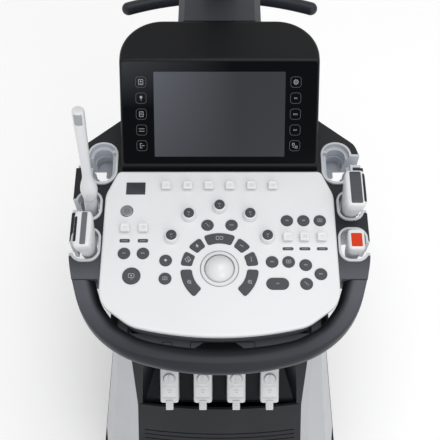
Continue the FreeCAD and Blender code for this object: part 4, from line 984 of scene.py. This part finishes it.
def keyboard_caps():
    """Keyboard caps with tapered sides, a dished top and a small generic spot."""
    shape = Shape(PANEL)
    for low, high in islands("keyboard_keys", PANEL):
        x = (low.x + high.x) / 2
        y = (low.y + high.y) / 2
        width = high.x - low.x
        length = high.y - low.y
        rings = []
        sides = ((0, low.z, 1.2), (0.3, high.z - 2.4, 1.4), (1.2, high.z - 0.5, 2.0), (1.9, high.z, 2.2))
        for inset, z, corner in sides:
            outline = rounded(x, y, width - 2 * inset, length - 2 * inset, corner)
            rings.append([(px, py, z) for px, py in outline])
        for share, drop in ((0.75, 0.15), (0.45, 0.3), (0.1, 0.35)):
            outline = rounded(x, y, (width - 4) * share, (length - 4) * share, 1.8 * share)
            rings.append([(px, py, high.z - drop) for px, py in outline])
        shape.rings(rings, "key_grey")
        spot = rounded(x - width / 2 + 4.6, y + 3.2, 2.0, 2.0, 0.5, 2)
        shape.prism(spot, high.z - 0.6, high.z - 0.08, "mark")
    piece = shape.finish("keyboard_caps", "keyboard_keys", "key_grey")
    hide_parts("keyboard_keys")


# ---- monitor ----
MONITOR_BACK = 95.0


def monitor_details():
    """The dark display area, a chin bar with a lamp, and in the back slots painted as thin dark sheets of
    shade, and screws.
    """
    low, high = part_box("monitor_screen")
    centre = (low + high) / 2
    width = (high.x - low.x) * 1000
    tall = (high.z - low.z) * 1000
    front = Matrix.Translation((centre.x, low.y, centre.z)) @ turned(90, "X") @ MM
    shape = Shape(front)
    shape.prism(rounded(0, 6, width - 24, tall - 32, 1.5, 2), -0.5, 0.12, "screen")
    shape.prism(rounded(0, -tall / 2 + 7, 16, 2.2, 1.0), -0.2, 0.2, "dim_mark")
    shape.prism(circle(width / 2 - 22, -tall / 2 + 7, 1.4, 16), -0.2, 0.25, "mark")
    shape.finish("monitor_lcd", "monitor", "screen_glass")
    shape = Shape(MM)
    # vent slots: thin near-black sheets of painted shade
    for row in range(7):
        outline = rounded(0, high.z * 1000 - 66 - row * 7, 190, 3.0, 1.4, 3)
        shape.rings([[(x, MONITOR_BACK + y, z) for x, z in outline] for y in (-0.6, 0.3)], "painted_gap_shade")
    head = [(0, -1), (4.2, -1), (4.2, 0.5), (3.4, 0.9), (2.0, 0.9), (1.9, 0.2), (0, 0.2)]
    for x in (-130, 130):
        for z in (low.z * 1000 + 74, high.z * 1000 - 64):
            shape.lathe(head, "screw", Matrix.Translation((x, MONITOR_BACK, z)) @ turned(-90, "X"), 24)
    shape.finish("monitor_back_details", "monitor", "housing_black")


# ---- cart ----
def screw_slots():
    """Cross slots in the rear cover's screws, painted as dark blocks of shade."""
    shape = Shape(MM)
    for low, high in islands("cover_screws", Matrix.Identity(4)):
        x = (low.x + high.x) * 500
        z = (low.z + high.z) * 500
        y = high.y * 1000
        for size_x, size_z in ((2.4, 0.5), (0.5, 2.4)):
            shape.block((x - size_x, y - 0.5, z - size_z), (x + size_x, y + 0.08, z + size_z), 0, "painted_gap_shade")
    shape.finish("screw_slots", "cart", "screw_steel")


def sockets():
    """Sockets behind the plate's openings: a power inlet with three pins, and jacks with their contacts."""
    low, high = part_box("io_panel")
    shape = Shape(Matrix.Translation((low.x, high.y, low.z)) @ MM)
    shape.block((20, -3.4, 22), (61, -1.2, 57), 0.5, "socket")
    for x, z in ((40.5, 45), (32, 34), (49, 34)):
        shape.block((x - 1.5, -3, z - 3.5), (x + 1.5, -0.3, z + 3.5), 0.3, "screw")
    for i in range(4):
        left = 89.5 + 34 * i
        shape.block((left, -3.4, 27), (left + 22, -1.5, 46), 0.4, "socket")
        for pin in range(6):
            x = left + 5 + 2.4 * pin
            shape.block((x - 0.5, -2, 38), (x + 0.5, -1.0, 44), 0, "screw")
        left = 19.5 + 44 * i
        shape.block((left, -3.4, 77), (left + 30, -1.5, 90), 0.4, "socket")
        shape.block((left + 5, -2, 81), (left + 25, -0.9, 85), 0.3, "screw")
    shape.finish("sockets", "cart", "front_dark")


TYRE_HALF = [
    (46, -15.4), (50, -16), (56.8, -16), (60.6, -14.6), (62.2, -11), (62.4, -6.4), (61.2, -5.8), (61.2, -4.2),
    (62.5, -3.6),
]
HUB_HALF = [
    (6.1, -16), (11, -16), (12, -15.2), (12.4, -11.4), (37, -11), (38.4, -15), (39.4, -15.9), (45.9, -15.9),
]


def wheels():
    """Caster wheels: a soft tyre with two grooves, and a dished hub with ribs and a cap."""
    for node in sorted(n for n in NODES if n.endswith("_wheel")):
        shape = Shape(Matrix.Translation(middle(node)) @ turned(90, "Y") @ MM)
        for half, material in ((TYRE_HALF, "tyre"), (HUB_HALF, "hub")):
            mirrored = [(radius, -z) for radius, z in reversed(half)]
            shape.lathe(half + mirrored, material, None, 72, closed=True)
        for i in range(6):
            turn = Matrix.Rotation(math.tau * i / 6, 4, "Z")
            for side in (-1, 1):
                z0, z1 = sorted((side * 10.5, side * 14.4))
                shape.block((11.5, -1.3, z0), (38.2, 1.3, z1), 0.5, "hub", turn)
        piece = shape.finish(node + "_rolled", node, "wheel_rubber", sharp=50)
        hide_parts(node)


PEDAL_MARGIN = 2.5


def pedal_ribs():
    """Grip ribs across the brake pedals."""
    for side in ("front_left", "front_right"):
        low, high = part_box(side + "_brake_pedal")
        shape = Shape(Matrix.Translation((low.x, low.y, high.z)) @ MM)
        right = (high.x - low.x) * 1000 - PEDAL_MARGIN
        for i in range(6):
            y = 4 + 4.5 * i
            shape.block((PEDAL_MARGIN, y - 0.9, -3.8), (right, y + 0.9, -2.3), 0.4, "caster")
        shape.finish(side + "_pedal_ribs", side + "_brake", "caster_grey")


# ---- floor, light and camera ----
def stage():
    """A plain pale floor."""
    mesh = bpy.data.meshes.new("floor")
    mesh.from_pydata([(-30, -30, 0), (30, -30, 0), (30, 30, 0), (-30, 30, 0)], [], [(0, 1, 2, 3)])
    floor = bpy.data.objects.new("floor", mesh)
    bpy.context.scene.collection.objects.link(floor)
    material = bpy.data.materials.new("floor")
    material.use_nodes = True
    shader = material.node_tree.nodes["Principled BSDF"]
    shader.inputs["Base Color"].default_value = (0.93, 0.93, 0.93, 1)
    shader.inputs["Roughness"].default_value = 0.9
    shader.inputs["Specular IOR Level"].default_value = 0.1
    shader.inputs["Emission Color"].default_value = (1, 1, 1, 1)
    shader.inputs["Emission Strength"].default_value = 0.16
    mesh.materials.append(material)


def lamp(name, place, target, width, length, power):
    """A soft rectangular light aimed at a point."""
    light = bpy.data.lights.new(name, "AREA")
    light.shape = "RECTANGLE"
    light.size = width
    light.size_y = length
    light.energy = power
    holder = bpy.data.objects.new(name, light)
    holder.location = place
    holder.rotation_euler = (Vector(target) - Vector(place)).to_track_quat("-Z", "Y").to_euler()
    bpy.context.scene.collection.objects.link(holder)


def lights():
    """White surroundings, a broad light overhead and a weaker one at the front."""
    world = bpy.data.worlds.new("studio")
    bpy.context.scene.world = world
    world.use_nodes = True
    background = world.node_tree.nodes["Background"]
    background.inputs["Color"].default_value = (1, 1, 1, 1)
    background.inputs["Strength"].default_value = 0.72
    lamp("overhead", (0.5, -0.4, 3.6), (0, 0, 0.8), 2.4, 1.8, 30)
    lamp("front", (1.2, -3.0, 2.2), (0, -0.2, 0.7), 1.6, 1.6, 20)
    bpy.context.scene.view_settings.view_transform = "Standard"


FOCAL_LENGTH = 63.13
CAMERA_PLACE = (0.0008, -0.885, 1.9625)
CAMERA_PITCH = 56.4


def camera():
    """The view down on the console from the user's side."""
    lens = bpy.data.cameras.new("camera")
    lens.sensor_width = 36
    lens.lens = FOCAL_LENGTH
    lens.clip_end = 100
    holder = bpy.data.objects.new("camera", lens)
    holder.location = CAMERA_PLACE
    holder.rotation_euler = (math.radians(90 - CAMERA_PITCH), 0, 0)
    bpy.context.scene.collection.objects.link(holder)
    bpy.context.scene.camera = holder


dress_cad()
key_marks()
arc_marks()
encoders()
paddles()
panel_details()
touch_details()
handle()
hand_probes()
rod_probe()
plugs()
drawer_marks()
keyboard_caps()
monitor_details()
screw_slots()
sockets()
wheels()
pedal_ribs()
stage()
lights()
camera()
